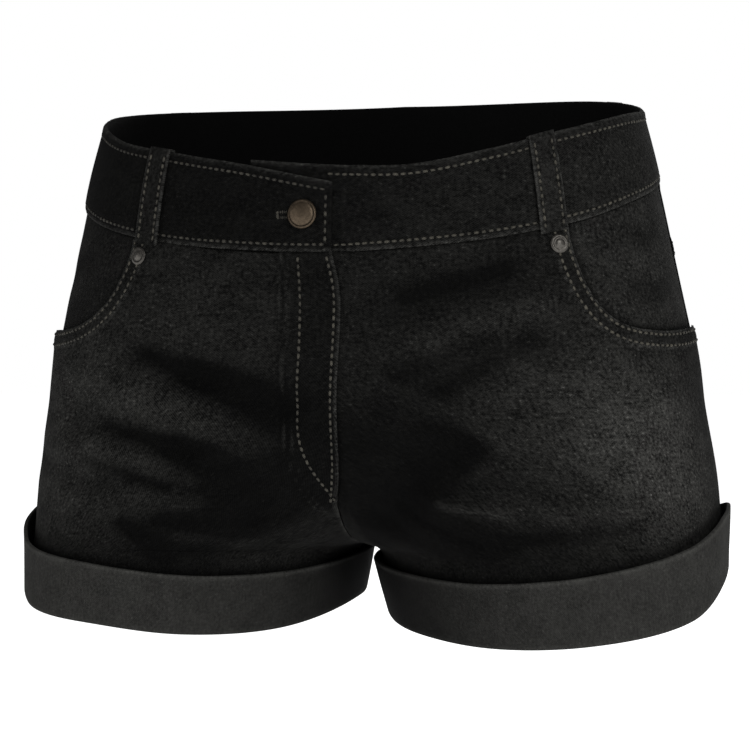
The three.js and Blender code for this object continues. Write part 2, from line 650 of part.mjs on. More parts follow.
// The cuff: the leg's cloth turned up outside itself, in section a hook that stands off at the top
function addCuff(name, side) {
  const loops = [];
  for (let i = 0; i < CUFF_STEPS; i += 1) {
    const t = -90 + 360 * i / CUFF_STEPS;
    const low = hem[side](t);
    const height = cuffHeight[side](t);
    loops.push(CUFF_SECTION.map(({ out, up, share }) => {
      const z = low + up + share * height;
      return barePoint(side, t, z, true).addScaledVector(bareNormal(side, t, z, true), out);
    }));
  }
  addLoft(name, loops, true, COLOURS.faded);
}

// A patch pocket on the back: its outline is worked out on the panel and its points are moved out
function addBackPocket(name, side) {
  const columns = 11;
  const rows = 8;
  const { middle: centre, halfTurn, taper, top, slant, side: sideLow, point } = BACK_POCKET;
  addSheet(name, columns, rows, DENIM, COLOURS.denim, (i, j) => {
    const across = 2 * i / (columns - 1) - 1;
    const down = j / (rows - 1);
    const low = mix(point, sideLow, Math.abs(across));
    const z = mix(top + slant * across, low, down);
    const t = centre + halfTurn * mix(1, taper, down) * across;
    return { side, t, z, out: DENIM + 2 * GAP };
  });
}

for (const [side, word] of [[-1, 'left'], [1, 'right']]) {
  addFront(`front_panel_${word}`, side);
  addBack(`back_panel_${word}`, side);
  addYoke(`back_yoke_${word}`, side);
  addHipPiece(`hip_piece_${word}`, side);
  addPocketBag(`pocket_bag_${word}`, side);
  addBackPocket(`back_pocket_${word}`, side);
  addCuff(`cuff_${word}`, side);
  addRivet(`rivet_${word}`, side);
}
addFlyStrip({ name: 'fly_facing', from: -25, to: -8.5, out: FACING_OUT, wall: POCKETING, colour: COLOURS.denim });
addFlyStrip({ name: 'zip', from: -16, to: 8, out: ZIP_OUT, wall: DENIM, colour: COLOURS.pocketing });
addFlyStrip({ name: 'fly_shield', from: -22, to: 14, out: SHIELD_OUT, wall: DENIM, colour: COLOURS.denim });
addFlyStrip({
  name: 'zip_slider',
  from: -7.6,
  to: -0.4,
  top: FLY_TOP - SLIDER.top,
  end: FLY_TOP - SLIDER.top - SLIDER.length,
  out: ZIP_OUT + GAP + SLIDER.wall,
  wall: SLIDER.wall,
  colour: COLOURS.nickel,
});
addWaistband();
addButton();
LOOPS.forEach(addBeltLoop);

export default shorts;
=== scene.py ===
# %% [markdown]
# # Denim shorts, hollow and in their worn shape
# A pair of low-rise shorts in washed black denim, with turned-up cuffs, scooped pockets and a
# buttoned waistband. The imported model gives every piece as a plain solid. This lesson lays a finer
# piece over each of them: cloth with rolled edges, seams and creases, thread, metal and a weave.

# %% Load the frame
import bpy
import numpy as np
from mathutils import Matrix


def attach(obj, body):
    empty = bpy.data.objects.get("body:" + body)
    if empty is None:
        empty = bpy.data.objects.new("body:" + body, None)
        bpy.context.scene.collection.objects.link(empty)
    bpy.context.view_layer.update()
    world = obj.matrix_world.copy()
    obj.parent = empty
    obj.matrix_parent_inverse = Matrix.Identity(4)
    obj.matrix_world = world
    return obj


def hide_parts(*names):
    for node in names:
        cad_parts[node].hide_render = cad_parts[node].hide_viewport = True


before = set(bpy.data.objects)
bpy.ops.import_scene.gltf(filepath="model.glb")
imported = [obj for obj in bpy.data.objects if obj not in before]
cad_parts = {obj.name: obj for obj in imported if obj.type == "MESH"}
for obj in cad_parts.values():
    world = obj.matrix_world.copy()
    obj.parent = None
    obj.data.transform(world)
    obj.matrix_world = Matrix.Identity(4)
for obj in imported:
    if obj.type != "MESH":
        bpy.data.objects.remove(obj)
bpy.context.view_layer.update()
MM = 0.001
rng = np.random.default_rng(7)

# %% [markdown]
# ## Camera, floor and light
# The picture looks level at the front, from a little to the wearer's left. A long lens keeps the
# shorts in proportion. A pale table and three large soft lights are what a product studio uses;
# the world is white to the camera and dimmer as a light, so black cloth keeps its depth.

# %% Camera
VIEW_TURN = np.radians(12.5)
VIEW_DISTANCE = 0.950
VIEW_HEIGHT = -0.1525
camera_data = bpy.data.cameras.new("camera")
camera_data.sensor_width = 36
camera_data.lens = 81.4
camera_data.shift_x = 0.0067
camera_data.shift_y = 0.0133
camera = bpy.data.objects.new("camera", camera_data)
camera.location = (VIEW_DISTANCE * np.sin(VIEW_TURN), -VIEW_DISTANCE * np.cos(VIEW_TURN), VIEW_HEIGHT)
camera.rotation_euler = (np.pi / 2, 0, VIEW_TURN)
scene = bpy.context.scene
scene.collection.objects.link(camera)
scene.camera = camera
scene.view_settings.view_transform = "Standard"
print("camera at", [round(c, 3) for c in camera.location])

# %% Floor and lights
FLOOR_HEIGHT = -0.40
FLOOR_REACH = 40
LIGHT_AIM = (0, 0, -0.14)


def add_area_light(name, place, size, power):
    """A square soft light at a place, turned to face the middle of the shorts."""
    data = bpy.data.lights.new(name, "AREA")
    data.size = size
    data.energy = power
    lamp = bpy.data.objects.new(name, data)
    lamp.location = place
    x, y, z = np.array(LIGHT_AIM) - np.array(place)
    lamp.rotation_euler = (np.pi / 2 + np.arctan2(z, np.hypot(x, y)), 0, np.arctan2(-x, y))
    scene.collection.objects.link(lamp)


add_area_light("key", (1.5, -1.8, 1.0), 1.1, 34)
add_area_light("fill", (-1.9, -1.6, 0.3), 1.4, 6)
add_area_light("back", (0.4, 2.0, 0.9), 1.2, 10)

floor_mesh = bpy.data.meshes.new("floor")
corners = [(FLOOR_REACH * x, FLOOR_REACH * y, FLOOR_HEIGHT) for x, y in ((-1, -1), (1, -1), (1, 1), (-1, 1))]
floor_mesh.from_pydata(corners, [], [[0, 1, 2, 3]])
floor = bpy.data.objects.new("floor", floor_mesh)
scene.collection.objects.link(floor)

world = bpy.data.worlds.new("studio")
world.use_nodes = True
scene.world = world
nodes, links = world.node_tree.nodes, world.node_tree.links
sky = nodes["Background"]
sky.inputs["Color"].default_value = (0.2, 0.2, 0.2, 1)
bare_white = nodes.new("ShaderNodeBackground")
bare_white.inputs["Color"].default_value = (1, 1, 1, 1)
either = nodes.new("ShaderNodeMixShader")
links.new(nodes.new("ShaderNodeLightPath").outputs["Is Camera Ray"], either.inputs["Fac"])
links.new(sky.outputs[0], either.inputs[1])
links.new(bare_white.outputs[0], either.inputs[2])
links.new(either.outputs[0], nodes["World Output"].inputs["Surface"])
print("three soft lights, a floor and a pale world")

# %% [markdown]
# ## The form of the cloth
# A garment's form is a general figure's: half widths and depths at a few heights, joined by smooth
# curves. Each side is half an oval at the waist; below the hips its centre moves out until the oval
# closes at the crotch and becomes a leg. A spot on the cloth is a side, an angle round the body and
# a height, so seams, pockets and stitches can all be placed with the same three numbers. Sewn edges
# reach a hair past their seam line, so no light shows through a seam.

# %% Tables of the form, in millimetres
def table(columns, *rows):
    """Rows of numbers as named columns."""
    return dict(zip(columns.split(), np.array(rows, float).T))


SECTIONS = table(
    "z half_width front back middle",
    (-295, 197, 97, 103, 8),
    (-245, 193, 98, 105, 8),
    (-217, 192, 99, 112, 7),
    (-197, 190, 101, 119, 5),
    (-168, 185, 104, 127, 2),
    (-139, 180.3, 106, 129, 1),
    (-118, 175.7, 107, 127, 1),
    (-87, 169, 106, 121, 2),
    (-42, 159.4, 103, 108, 3),
    (0, 149.2, 97, 98, 4),
    (35, 143.5, 93, 92, 4),
)
WAIST_EDGES = table(
    "t rim_left rim_right seam",
    (-30, -66, -34, -80),
    (-15, -58, -37.5, -84),
    (0, -50.2, -41.5, -86),
    (15, -41, -42.5, -84),
    (30, -32.5, -34.5, -79),
    (45, -24, -24, -70.5),
    (65, -9.5, -12.5, -56),
    (90, 3, -3.5, -43),
    (135, 16, 14.5, -30),
    (180, 19, 19, -27),
    (200, 19, 19, -27),
)
LEG_EDGES = table(
    "t hem_left hem_right cuff_left cuff_right",
    (-135, -276, -280, 31, 32.5),
    (-90, -271.5, -277.5, 27.5, 33),
    (-45, -281.5, -282, 31, 32.5),
    (-15, -282.5, -284.5, 31.5, 33),
    (15, -278.5, -282, 32, 34.5),
    (50, -273, -272.5, 34, 37.5),
    (75, -260, -258, 35, 36.5),
    (100, -254.5, -251.5, 34, 34),
    (135, -263, -261, 33.5, 33.5),
    (180, -274, -275, 33, 33),
    (225, -276, -280, 31, 32.5),
    (270, -271.5, -277.5, 27.5, 33),
    (315, -281.5, -282, 31, 32.5),
)
WORDS = {-1: "left", 1: "right"}
DENIM = 1.2
BAND_WALL = 2.5
POCKETING = 1.0
HALF_GAP = 0.15
SIDE_SEAM = 94
LAP = 0.04
SEAM_ANGLE = -0.015
CROTCH = -239
RISE_REACH = 118
LEG_GAP = 7
PARTING = {-1: 0.09, 1: 0.2}
SQUARENESS = 0.05
ARC = 1.95


def mix(a, b, share):
    """A value that goes evenly from a to b as the share goes from 0 to 1."""
    return a + (b - a) * share


def ease(x, start, end):
    """Rises smoothly from 0 at start to 1 at end."""
    s = np.clip((x - start) / (end - start), 0, 1)
    return s * s * (3 - 2 * s)


def bell(x, width):
    """A bell curve: 1 at nothing, and 0.37 a width away."""
    return np.exp(-((x / width) ** 2))


def unit(vectors):
    """The same directions, one long."""
    return vectors / np.linalg.norm(vectors, axis=-1, keepdims=True)


def running(lengths):
    """Distance from the start to each end of a row of lengths."""
    return np.concatenate([[0], np.cumsum(lengths)])


def cubic(start, end, start_slope, end_slope, s):
    """A cubic from start to end as s goes from 0 to 1, leaving and arriving with given slopes."""
    first = (1 + 2 * s) * (1 - s) ** 2 * start + s * (1 - s) ** 2 * start_slope
    return first + s * s * (3 - 2 * s) * end + s * s * (s - 1) * end_slope


def through(rows, key, column):
    """A smooth curve through a column: a cubic between each two rows, its slope at a row that of
    the line between the rows before and after."""
    xs, ys = rows[key], rows[column]
    before = np.maximum(np.arange(len(xs)) - 1, 0)
    after = np.minimum(np.arange(len(xs)) + 1, len(xs) - 1)
    slopes = (ys[after] - ys[before]) / (xs[after] - xs[before])

    def curve(x):
        x = np.asarray(x, float)
        i = np.clip(np.searchsorted(xs, x, side="right") - 1, 0, len(xs) - 2)
        width = xs[i + 1] - xs[i]
        s = np.clip((x - xs[i]) / width, 0, 1)
        return cubic(ys[i], ys[i + 1], width * slopes[i], width * slopes[i + 1], s)

    return curve


def both_sides(rows, name):
    """Each side's curve through its column of a name."""
    return {side: through(rows, "t", f"{name}_{word}") for side, word in WORDS.items()}


half_width, front_depth, back_depth, middle_line = (
    through(SECTIONS, "z", column) for column in ("half_width", "front", "back", "middle")
)
band_seam = through(WAIST_EDGES, "t", "seam")
rim = both_sides(WAIST_EDGES, "rim")
hem = both_sides(LEG_EDGES, "hem")
cuff_height = both_sides(LEG_EDGES, "cuff")
print("waist", 2 * half_width(0), "mm wide, hips", 2 * half_width(-168), "mm wide")


# %% A spot on the body
def oval(side, z, straight_legs=False):
    """Centre and half width of one side's oval at a height."""
    width = half_width(z)
    below = CROTCH - z
    closed = (1 - np.clip(-below / RISE_REACH, 0, 1) ** 0.75) ** 1.7
    joined = width * closed / (1 + closed) + closed * HALF_GAP / 2
    opened = 1 if straight_legs else 1 - np.exp(-np.maximum(below, 0) / 2.2)
    parted = (width + np.maximum(LEG_GAP * opened + PARTING[side] * below, HALF_GAP)) / 2
    centre = parted if straight_legs else np.where(below <= 0, joined, parted)
    return centre, width - centre


def bare_point(side, t, z, straight_legs=False):
    """The oval's point at an angle: the centre plus the half width times the angle's sine, and the
    depth times its cosine, a little squarer on the outside."""
    centre, across = oval(side, z, straight_legs)
    angle = np.radians(t)
    squarer = np.where(np.sin(angle) > 0, 1 + SQUARENESS * np.sin(2 * angle) ** 2, 1)
    depth = np.where(np.cos(angle) > 0, front_depth(z), back_depth(z))
    x = side * (centre + across * np.sin(angle) * squarer)
    y = middle_line(z) - depth * np.cos(angle) * squarer
    return np.stack([x, y, z + 0 * x], -1)


def outward(place, side, t, z, t_step, z_step):
    """Outward direction of a surface: the step round the body crossed with the step up it."""
    round_step = place(side, t + t_step, z) - place(side, t - t_step, z)
    up_step = place(side, t, z + z_step) - place(side, t, z - z_step)
    return unit(np.cross(round_step, up_step) * side)


def bare_normal(side, t, z, straight_legs=False):
    """Outward direction of the bare oval."""
    return outward(lambda *spot: bare_point(*spot, straight_legs), side, t, z, 0.5, 0.5)


def off_body(side, t, z, out, straight_legs=False):
    """The body's point moved straight out by a distance."""
    move = bare_normal(side, t, z, straight_legs) * np.asarray(out)[..., None]
    return bare_point(side, t, z, straight_legs) + move


def angle_at(z, x):
    """The angle at which a side's cloth is a distance x from the centre plane, on the front."""
    centre, across = oval(-1, z)
    return -np.degrees(np.arcsin(np.clip((centre - x) / across, -1, 1)))


print("front of the waist at", bare_point(1, np.array(0.0), np.array(-60.0)).round(1))

# %% [markdown]
# ## Folds
# Denim pulls into soft diagonal folds from the crotch to the hips, and into short whiskers beside
# the fly. Each fold is a line on the cloth, with a height and a width; the cloth moves out by the
# height times a bell curve of the distance from the line. The same sum, kept as a number at every
# point, later lightens the crests, partly as wear and partly as painted light, and darkens the
# troughs with painted shade.

# %% Fold tables
MAIN_FOLDS = table(
    "side from_t from_z to_t to_z out width",
    (-1, 33, -139, -2, -168, -4, 10),
    (-1, 30, -148, 2, -186, 2, 9),
    (-1, 46, -169, 17, -185, -3, 8),
    (-1, 17, -185, -18, -221, -3.5, 9),
    (-1, 66, -192, 25, -207, -2.5, 7),
    (1, 32, -101, 12, -116, -2, 9),
    (1, 36, -133, 5, -171, -3, 10),
    (1, 11, -180, -26, -222, -4.5, 10),
    (1, -4, -211, 24, -218, 2.5, 7),
    (1, 62, -160, 34, -186, 2, 10),
    (-1, 150, -217, 205, -230, -3.5, 7),
    (1, 146, -218, 200, -230, -3.5, 7),
)
SMALL_CREASES = table(
    "side from_t from_z to_t to_z out width",
    (-1, 32, -136, 18, -149, -1, 5),
    (-1, 21, -146, 0, -165, -1.8, 5.5),
    (-1, 36, -174, 12, -188, -1, 3.5),
    (-1, 12, -188, -14, -214, -1.3, 5),
    (-1, 39, -192, 13, -206, -1, 3.2),
    (-1, 9, -222, -19, -224, -1.2, 3.2),
    (-1, 19, -224, -7, -244, -1.1, 3.2),
    (-1, 34, -158, 14, -176, 0.7, 7),
    (-1, 38, -184, 6, -202, 0.6, 4),
    (-1, 26, -208, 1, -214, 0.7, 5),
    (-1, -1, -230, -26, -236, 0.5, 3),
    (1, 30, -94, 14, -108, -0.8, 4.5),
    (1, 25, -130, 9, -149, -0.7, 5),
    (1, 33, -130, 15, -156, -0.6, 5),
    (1, 37, -110, 17, -132, 0.5, 6),
    (1, 30, -146, 4, -175, 0.5, 7),
    (1, 14, -184, -16, -216, -1.8, 5.5),
    (1, -16, -216, -45, -234, -1.5, 5),
    (1, -4, -212, 9, -218, 1.1, 3),
    (1, 20, -180, 3, -200, 0.6, 6),
    (1, -15, -222, -7, -233, -1.2, 3.5),
    (1, -7, -233, 40, -223, -0.7, 4),
    (1, -7, -180, -33, -224, -0.8, 6),
    (-1, 112, -150, 126, -176, -1.0, 5),
    (-1, 118, -196, 170, -212, 1.1, 6),
    (-1, 164, -160, 190, -196, -1.6, 8),
    (-1, 104, -206, 140, -222, -1.0, 5),
    (-1, 160, -204, 208, -214, 1.1, 5),
    (1, 112, -146, 124, -172, -1.0, 5),
    (1, 116, -194, 168, -210, 1.1, 6),
    (1, 162, -158, 188, -194, -1.6, 8),
    (1, 102, -208, 138, -224, -1.0, 5),
    (1, 158, -202, 206, -213, 1.1, 5),
)
CLEAR_OF_BAND = (2, 14)
CLEAR_OF_CUFF = (1, 13)
CLEAR_OF_CENTRE = (5, 17)


def fold_sum(rows, side, t, z):
    """Sum over the rows of this side: the height times a bell curve of the distance to the line."""
    total = np.zeros(np.broadcast(t, z).shape)
    for i in np.flatnonzero(rows["side"] == side):
        along_t = (rows["to_t"][i] - rows["from_t"][i]) * ARC
        along_z = rows["to_z"][i] - rows["from_z"][i]
        away_t = (t - rows["from_t"][i]) * ARC
        away_z = z - rows["from_z"][i]
        share = np.clip((away_t * along_t + away_z * along_z) / (along_t**2 + along_z**2), 0, 1)
        distance = np.hypot(away_t - share * along_t, away_z - share * along_z)
        total += rows["out"][i] * bell(distance, rows["width"][i])
    return total


def folds_at(side, t, z, large=1.0, small=1.0):
    """All folds, growing from nothing at the band seam, the cuffs and the centre; the two tables can
    be given different shares."""
    total = large * fold_sum(MAIN_FOLDS, side, t, z) + small * fold_sum(SMALL_CREASES, side, t, z)
    below_band = ease(band_seam(np.minimum(np.abs(t), 180)) - z, *CLEAR_OF_BAND)
    above_cuff = ease(z - hem[side](t) - cuff_height[side](t), *CLEAR_OF_CUFF)
    from_centre = ease(np.abs(bare_point(side, t, z)[..., 0]), *CLEAR_OF_CENTRE)
    return total * below_band * above_cuff * from_centre


def on_cloth(side, t, z, out):
    """The body's point moved out by the folds and by a given distance."""
    return off_body(side, t, z, out + folds_at(side, t, z))


print(len(MAIN_FOLDS["side"]), "folds and", len(SMALL_CREASES["side"]), "creases")

# %% [markdown]
# ## From a grid to a wall of cloth
# Every cloth piece is a closed wall: an outer face worked out on a grid of angle and height, an
# inner face one thickness further in, and a rim that joins them. Solidify could make the wall too,
# but here the edge can be thinned, so it reads as a fold. The cloth's own map is laid out in
# metres, so the weave keeps its real size. The wear with its painted light, and the painted
# shade, are kept as numbers at each point.

# %% Mesh helpers
EDGE_SHARE = 0.3
NEXT_SHARE = 0.85


def quads(index):
    """Four corners between neighbouring columns and rows of a grid of vertex numbers."""
    return np.stack([index[:-1, :-1], index[1:, :-1], index[1:, 1:], index[:-1, 1:]], -1).reshape(-1, 4)


def closed_ring(columns, count):
    """Vertex numbers of a row of closed sections, plain and with each section's first repeated."""
    index = np.arange(columns * count).reshape(columns, count)
    return index, np.concatenate([index, index[:, :1]], axis=1)


def flat_map(across, up):
    """Two distances along the cloth as its map, in metres."""
    return np.stack(np.broadcast_arrays(across, up), -1).reshape(-1, 2) * MM


def open_edges(faces):
    """Directed edges that belong to one face only; a face's last corner repeats if it has three."""
    ends = np.concatenate([np.stack([faces[:, k], faces[:, (k + 1) % 4]], -1) for k in range(4)])
    ends = ends[ends[:, 0] != ends[:, 1]]
    keys = np.sort(ends, axis=1)
    _, back, counts = np.unique(keys, axis=0, return_inverse=True, return_counts=True)
    return ends[counts[back.ravel()] == 1]


def signed_volume(points, faces):
    """Sum of the boxes under each face; it is positive when the faces look outwards."""
    a, b, c, d = (points[faces[:, k]] for k in range(4))
    return np.sum(np.cross(b, c) * a) + np.sum(np.cross(c, d) * a)


def add_piece(name, points, faces, materials, nodes=(), uv=None, fields=None, face_material=None):
    """Makes a mesh object from points in millimetres, turned outwards and riding on the shorts."""
    if signed_volume(points, faces) < 0:
        faces = faces[:, ::-1]
    three = (faces == np.roll(faces, -1, axis=1)).any(axis=1)
    corners = faces.tolist()
    for i in np.flatnonzero(three):
        corners[i] = list(dict.fromkeys(corners[i]))
    mesh = bpy.data.meshes.new(name)
    mesh.from_pydata(points * MM, [], corners)
    mesh.polygons.foreach_set("use_smooth", np.ones(len(faces), bool))
    corner_vertex = np.empty(len(mesh.loops), np.int32)
    mesh.loops.foreach_get("vertex_index", corner_vertex)
    if uv is not None:
        layer = mesh.uv_layers.new(name="cloth")
        layer.data.foreach_set("uv", uv[corner_vertex].astype(np.float32).ravel())
    for key, values in (fields or {}).items():
        mesh.attributes.new(key, "FLOAT", "POINT").data.foreach_set("value", values.astype(np.float32))
    for material in materials:
        mesh.materials.append(material)
    if face_material is not None:
        mesh.polygons.foreach_set("material_index", face_material.astype(np.int32))
    mesh.validate()
    piece = bpy.data.objects.new(name, mesh)
    scene.collection.objects.link(piece)
    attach(piece, "root")
    if nodes:
        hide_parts(*nodes)
    triangles = int(np.sum(np.where(three, 1, 2)))
    print(f"{name}: {len(points)} points, {triangles} triangles")
    return piece


def add_wall(name, outer, inward, faces, materials, nodes, uv, fields):
    """A closed wall: the outer points, the same points moved inward, and a rim round every open
    edge. At the rim the wall is thinned to a third, so it looks rolled."""
    count = len(outer)
    edges = open_edges(faces)
    thin = np.ones(count)
    thin[edges.ravel()] = EDGE_SHARE
    near = np.isin(faces, edges.ravel()).any(axis=1)
    thin[np.setdiff1d(faces[near].ravel(), edges.ravel())] = NEXT_SHARE
    trim = inward * ((1 - thin) / 2)[:, None]
    points = np.concatenate([outer + trim, outer + inward - trim])
    rim_faces = np.stack([edges[:, 1], edges[:, 0], edges[:, 0] + count, edges[:, 1] + count], -1)
    every = np.concatenate([faces, faces[:, ::-1] + count, rim_faces])
    kind = np.repeat([0, 1, 0], [len(faces), len(faces), len(rim_faces)])
    fields = {key: np.concatenate([values, values]) for key, values in fields.items()}
    return add_piece(name, points, every, materials, nodes, np.concatenate([uv, uv]), fields, kind)


def steps(count, length, tight=0.35):
    """Shares from 0 to 1 along a length in mm, even but with a close step at each end."""
    close = tight / length
    return np.concatenate([[0, close], np.linspace(3 * close, 1 - 3 * close, count - 4), [1 - close, 1]])


def cloth_normal(side, t, z):
    """Outward direction of the folded cloth."""
    return outward(lambda *spot: on_cloth(*spot, 0), side, t, z, 0.4, 0.6)


def distance_to(line, points):
    """Distance from each point to a dense line of points, and the nearest one's number."""
    best = np.full(len(points), np.inf)
    which = np.zeros(len(points), int)
    for start in range(0, len(points), 4000):
        part = points[start:start + 4000]
        apart = np.linalg.norm(part[:, None] - line[None], axis=-1)
        which[start:start + 4000] = apart.argmin(1)
        best[start:start + 4000] = apart.min(1)
    return best, which


print("helpers ready")

# %% [markdown]
# ## Denim
# Black denim is a twill: black warp over grey weft, so fine diagonal ribs show, with slubs along
# the warp. Washing fades the thighs. The crests are faded partly by wear and partly with painted
# light, and the troughs and the cloth beside raised seams are darkened with painted shade. The
# material reads the wear and painted light kept at each point, adds streaks, specks and blotches at
# their real sizes, and turns the sum into a grey, which the kept painted shade darkens. The cuffs
# use the same build, smoother and lighter.

# %% Node helpers
LEAST_WEAR = 0.016
# SHADE_GREY is the near-black that the kept painted shade draws the cloth's colour towards.
SHADE_GREY = (0.0015, 0.0015, 0.0015)


def set_inputs(tree, node, **inputs):
    """Sets a node's inputs to numbers, or joins them to other nodes' outputs."""
    for key, value in inputs.items():
        socket = node.inputs[int(key[1:])] if key[1:].isdigit() else node.inputs[key.replace("_", " ")]
        if isinstance(value, bpy.types.NodeSocket):
            tree.links.new(value, socket)
        else:
            socket.default_value = value


def add_node(tree, kind, settings=(), **inputs):
    """A new node, with its settings and inputs."""
    made = tree.nodes.new(kind)
    for key, value in dict(settings).items():
        setattr(made, key, value)
    set_inputs(tree, made, **inputs)
    return made


def math(tree, operation, a, b=0.0, c=0.0):
    """One sum of a material."""
    return add_node(tree, "ShaderNodeMath", {"operation": operation}, i0=a, i1=b, i2=c).outputs[0]


def blend(tree, factor, a, b):
    """A colour between two colours."""
    return add_node(tree, "ShaderNodeMix", {"data_type": "RGBA"}, i0=factor, i6=a, i7=b).outputs[2]


def noise_at(tree, vector, scale, detail=2.0, roughness=0.5):
    """Noise of about one over scale in size."""
    inputs = {"Vector": vector, "Scale": scale, "Detail": detail, "Roughness": roughness}
    return add_node(tree, "ShaderNodeTexNoise", **inputs).outputs[0]


def ribs_at(tree, vector, scale, distortion, **inputs):
    """Diagonal ribs, one over scale apart."""
    inputs.update(Vector=vector, Scale=scale, Distortion=distortion)
    return add_node(tree, "ShaderNodeTexWave", {"bands_direction": "DIAGONAL"}, **inputs).outputs["Fac"]


def kept(tree, name):
    """The number kept at each point of the mesh under a name."""
    return add_node(tree, "ShaderNodeAttribute", {"attribute_name": name}).outputs["Fac"]


def cloth_place(tree):
    """Where a spot is on the cloth's own map."""
    return add_node(tree, "ShaderNodeUVMap", {"uv_map": "cloth"}).outputs[0]


def rescaled(tree, value, low, high, new_low, new_high):
    """A number carried from one range to another, and held in it."""
    return add_node(tree, "ShaderNodeMapRange", i0=value, i1=low, i2=high, i3=new_low, i4=new_high).outputs[0]


def tilt(tree, strength, distance, height):
    """The direction of a surface with a small relief of its own."""
    return add_node(tree, "ShaderNodeBump", Strength=strength, Distance=distance, Height=height).outputs[0]


def stretched(tree, vector, scale):
    """The map stretched by three numbers, so that a pattern is longer one way."""
    return add_node(tree, "ShaderNodeMapping", Vector=vector, Scale=scale).outputs[0]


def new_material(name):
    """An empty material and its tree and shader."""
    material = bpy.data.materials.new(name)
    material.use_nodes = True
    tree = material.node_tree
    return material, tree, tree.nodes["Principled BSDF"]


def cloth_material(name, dark, light, lift, grain, slub, blotch, twill, fleck, bump=0.5):
    """Cloth grey: wear and painted light, made uneven by grain, streaks, blotches and ribs, picks a
    grey between dark and light; pale flecks are added where the cloth is worn or painted lighter, and
    the kept painted shade then draws the grey towards a near-black shade grey."""
    material, tree, shader = new_material(name)
    place = cloth_place(tree)
    streaks = noise_at(tree, stretched(tree, place, (900, 170, 1)), 1.0, 3.0, 0.6)
    specks = noise_at(tree, place, 620.0, 4.0, 0.7)
    patches = noise_at(tree, place, 75.0, 4.0, 0.65)
    ribs = ribs_at(tree, place, 620.0, 1.6, Detail=2.0, Detail_Scale=1.2)
    flecks = rescaled(tree, specks, 0.62, 0.74, 0.0, 1.0)
    uneven = math(tree, "MULTIPLY_ADD", rescaled(tree, specks, 0.36, 0.64, -1.0, 1.0), grain, 1.0)
    for pattern, share in ((streaks, slub), (patches, blotch), (ribs, twill)):
        uneven = math(tree, "MULTIPLY_ADD", math(tree, "SUBTRACT", pattern, 0.5), share, uneven)
    # wear and painted light, kept at each point, held above the least wear
    worn_and_lit = math(tree, "MAXIMUM", math(tree, "ADD", kept(tree, "wear_and_light"), lift), LEAST_WEAR)
    total = math(tree, "MULTIPLY", worn_and_lit, math(tree, "MAXIMUM", uneven, 0.12))
    total = math(tree, "MULTIPLY_ADD", math(tree, "MULTIPLY", flecks, worn_and_lit), fleck, total)
    clamped = add_node(tree, "ShaderNodeClamp", i0=total).outputs[0]
    colour = blend(tree, clamped, (*dark, 1), (*light, 1))
    height = math(tree, "MULTIPLY_ADD", ribs, 0.5, math(tree, "MULTIPLY_ADD", streaks, 0.35, specks))
    # The kept shade is painted shade: it mixes the colour towards SHADE_GREY.
    set_inputs(
        tree, shader, Base_Color=blend(tree, kept(tree, "shade"), colour, (*SHADE_GREY, 1)),
        Normal=tilt(tree, bump, 0.0004, height), Roughness=rescaled(tree, specks, 0.3, 0.7, 0.78, 0.95),
        Specular_IOR_Level=0.03, Sheen_Weight=0.003, Sheen_Roughness=0.5,
    )
    return material


# %% Cloth materials
GREY_DARK = (0.0011, 0.0011, 0.0011)
GREY_LIGHT = (0.104, 0.103, 0.096)
INSIDE_SHADE_BLACK = (0.03, 0.03, 0.03)
LINING_GREY = (0.05, 0.05, 0.05)
denim = cloth_material("washed_denim", GREY_DARK, GREY_LIGHT, 0.0, 0.8, 2.0, 2.2, 0.8, 4.0)
cuff_cloth = cloth_material("cuff_denim", GREY_DARK, GREY_LIGHT, 0.0, 0.28, 0.9, 1.0, 0.4, 0.9, bump=0.35)
# Inner faces: a near-black cloth that is painted shade, darker than denim's real wrong side.
shaded_inside_cloth = cloth_material("denim_inside_painted_shade", GREY_DARK, INSIDE_SHADE_BLACK, 0.0, 0.3, 0.8, 0.5, 0.4, 0.5)
pocket_cloth = cloth_material("pocketing", GREY_DARK, LINING_GREY, 0.1, 0.1, 0.3, 0.2, 0.5, 0.1)
tape_cloth = cloth_material("zip_tape", GREY_DARK, LINING_GREY, 0.1, 0.0, 0.3, 0.1, 1.0, 0.1)
print("five cloths made")


# %% Thread
THREAD_DARK = (0.006, 0.0056, 0.0046, 1)
THREAD_PALE = (0.105, 0.097, 0.076, 1)


def thread_material():
    """Twisted cotton thread: pale where it is proud, darker with painted shade where it dips, and lighter on
    some rows with painted light; its twist shows as ribs, in relief and as painted shade between the plies.
    """
    material, tree, shader = new_material("thread")
    twist = ribs_at(tree, cloth_place(tree), 520.0, 0.5)
    grain = math(tree, "MULTIPLY_ADD", twist, 0.25, math(tree, "ADD", kept(tree, "tone_and_shade"), -0.1))
    colour = blend(tree, grain, THREAD_DARK, THREAD_PALE)
    relief = tilt(tree, 0.6, 0.0003, twist)
    set_inputs(tree, shader, Base_Color=colour, Normal=relief, Roughness=0.75, Specular_IOR_Level=0.25)
    return material


thread = thread_material()


# %% Metals
def metal_material(name, pale, dark, roughness):
    """Old metal: bright where it is rubbed, dark in its hollows, with fine scratches and stains."""
    material, tree, shader = new_material(name)
    place = add_node(tree, "ShaderNodeTexCoord").outputs["Object"]
    stains = noise_at(tree, place, 700.0, 4.0, 0.65)
    grain = noise_at(tree, place, 4000.0, 2.0, 0.5)
    share = math(tree, "MULTIPLY_ADD", math(tree, "SUBTRACT", stains, 0.5), 1.1, kept(tree, "rub"))
    share = add_node(tree, "ShaderNodeClamp", i0=share).outputs[0]
    set_inputs(
        tree, shader, Base_Color=blend(tree, share, (*dark, 1), (*pale, 1)), Metallic=1.0,
        Roughness=math(tree, "MULTIPLY_ADD", grain, 0.25, roughness), Normal=tilt(tree, 0.35, 0.0002, stains),
    )
    return material


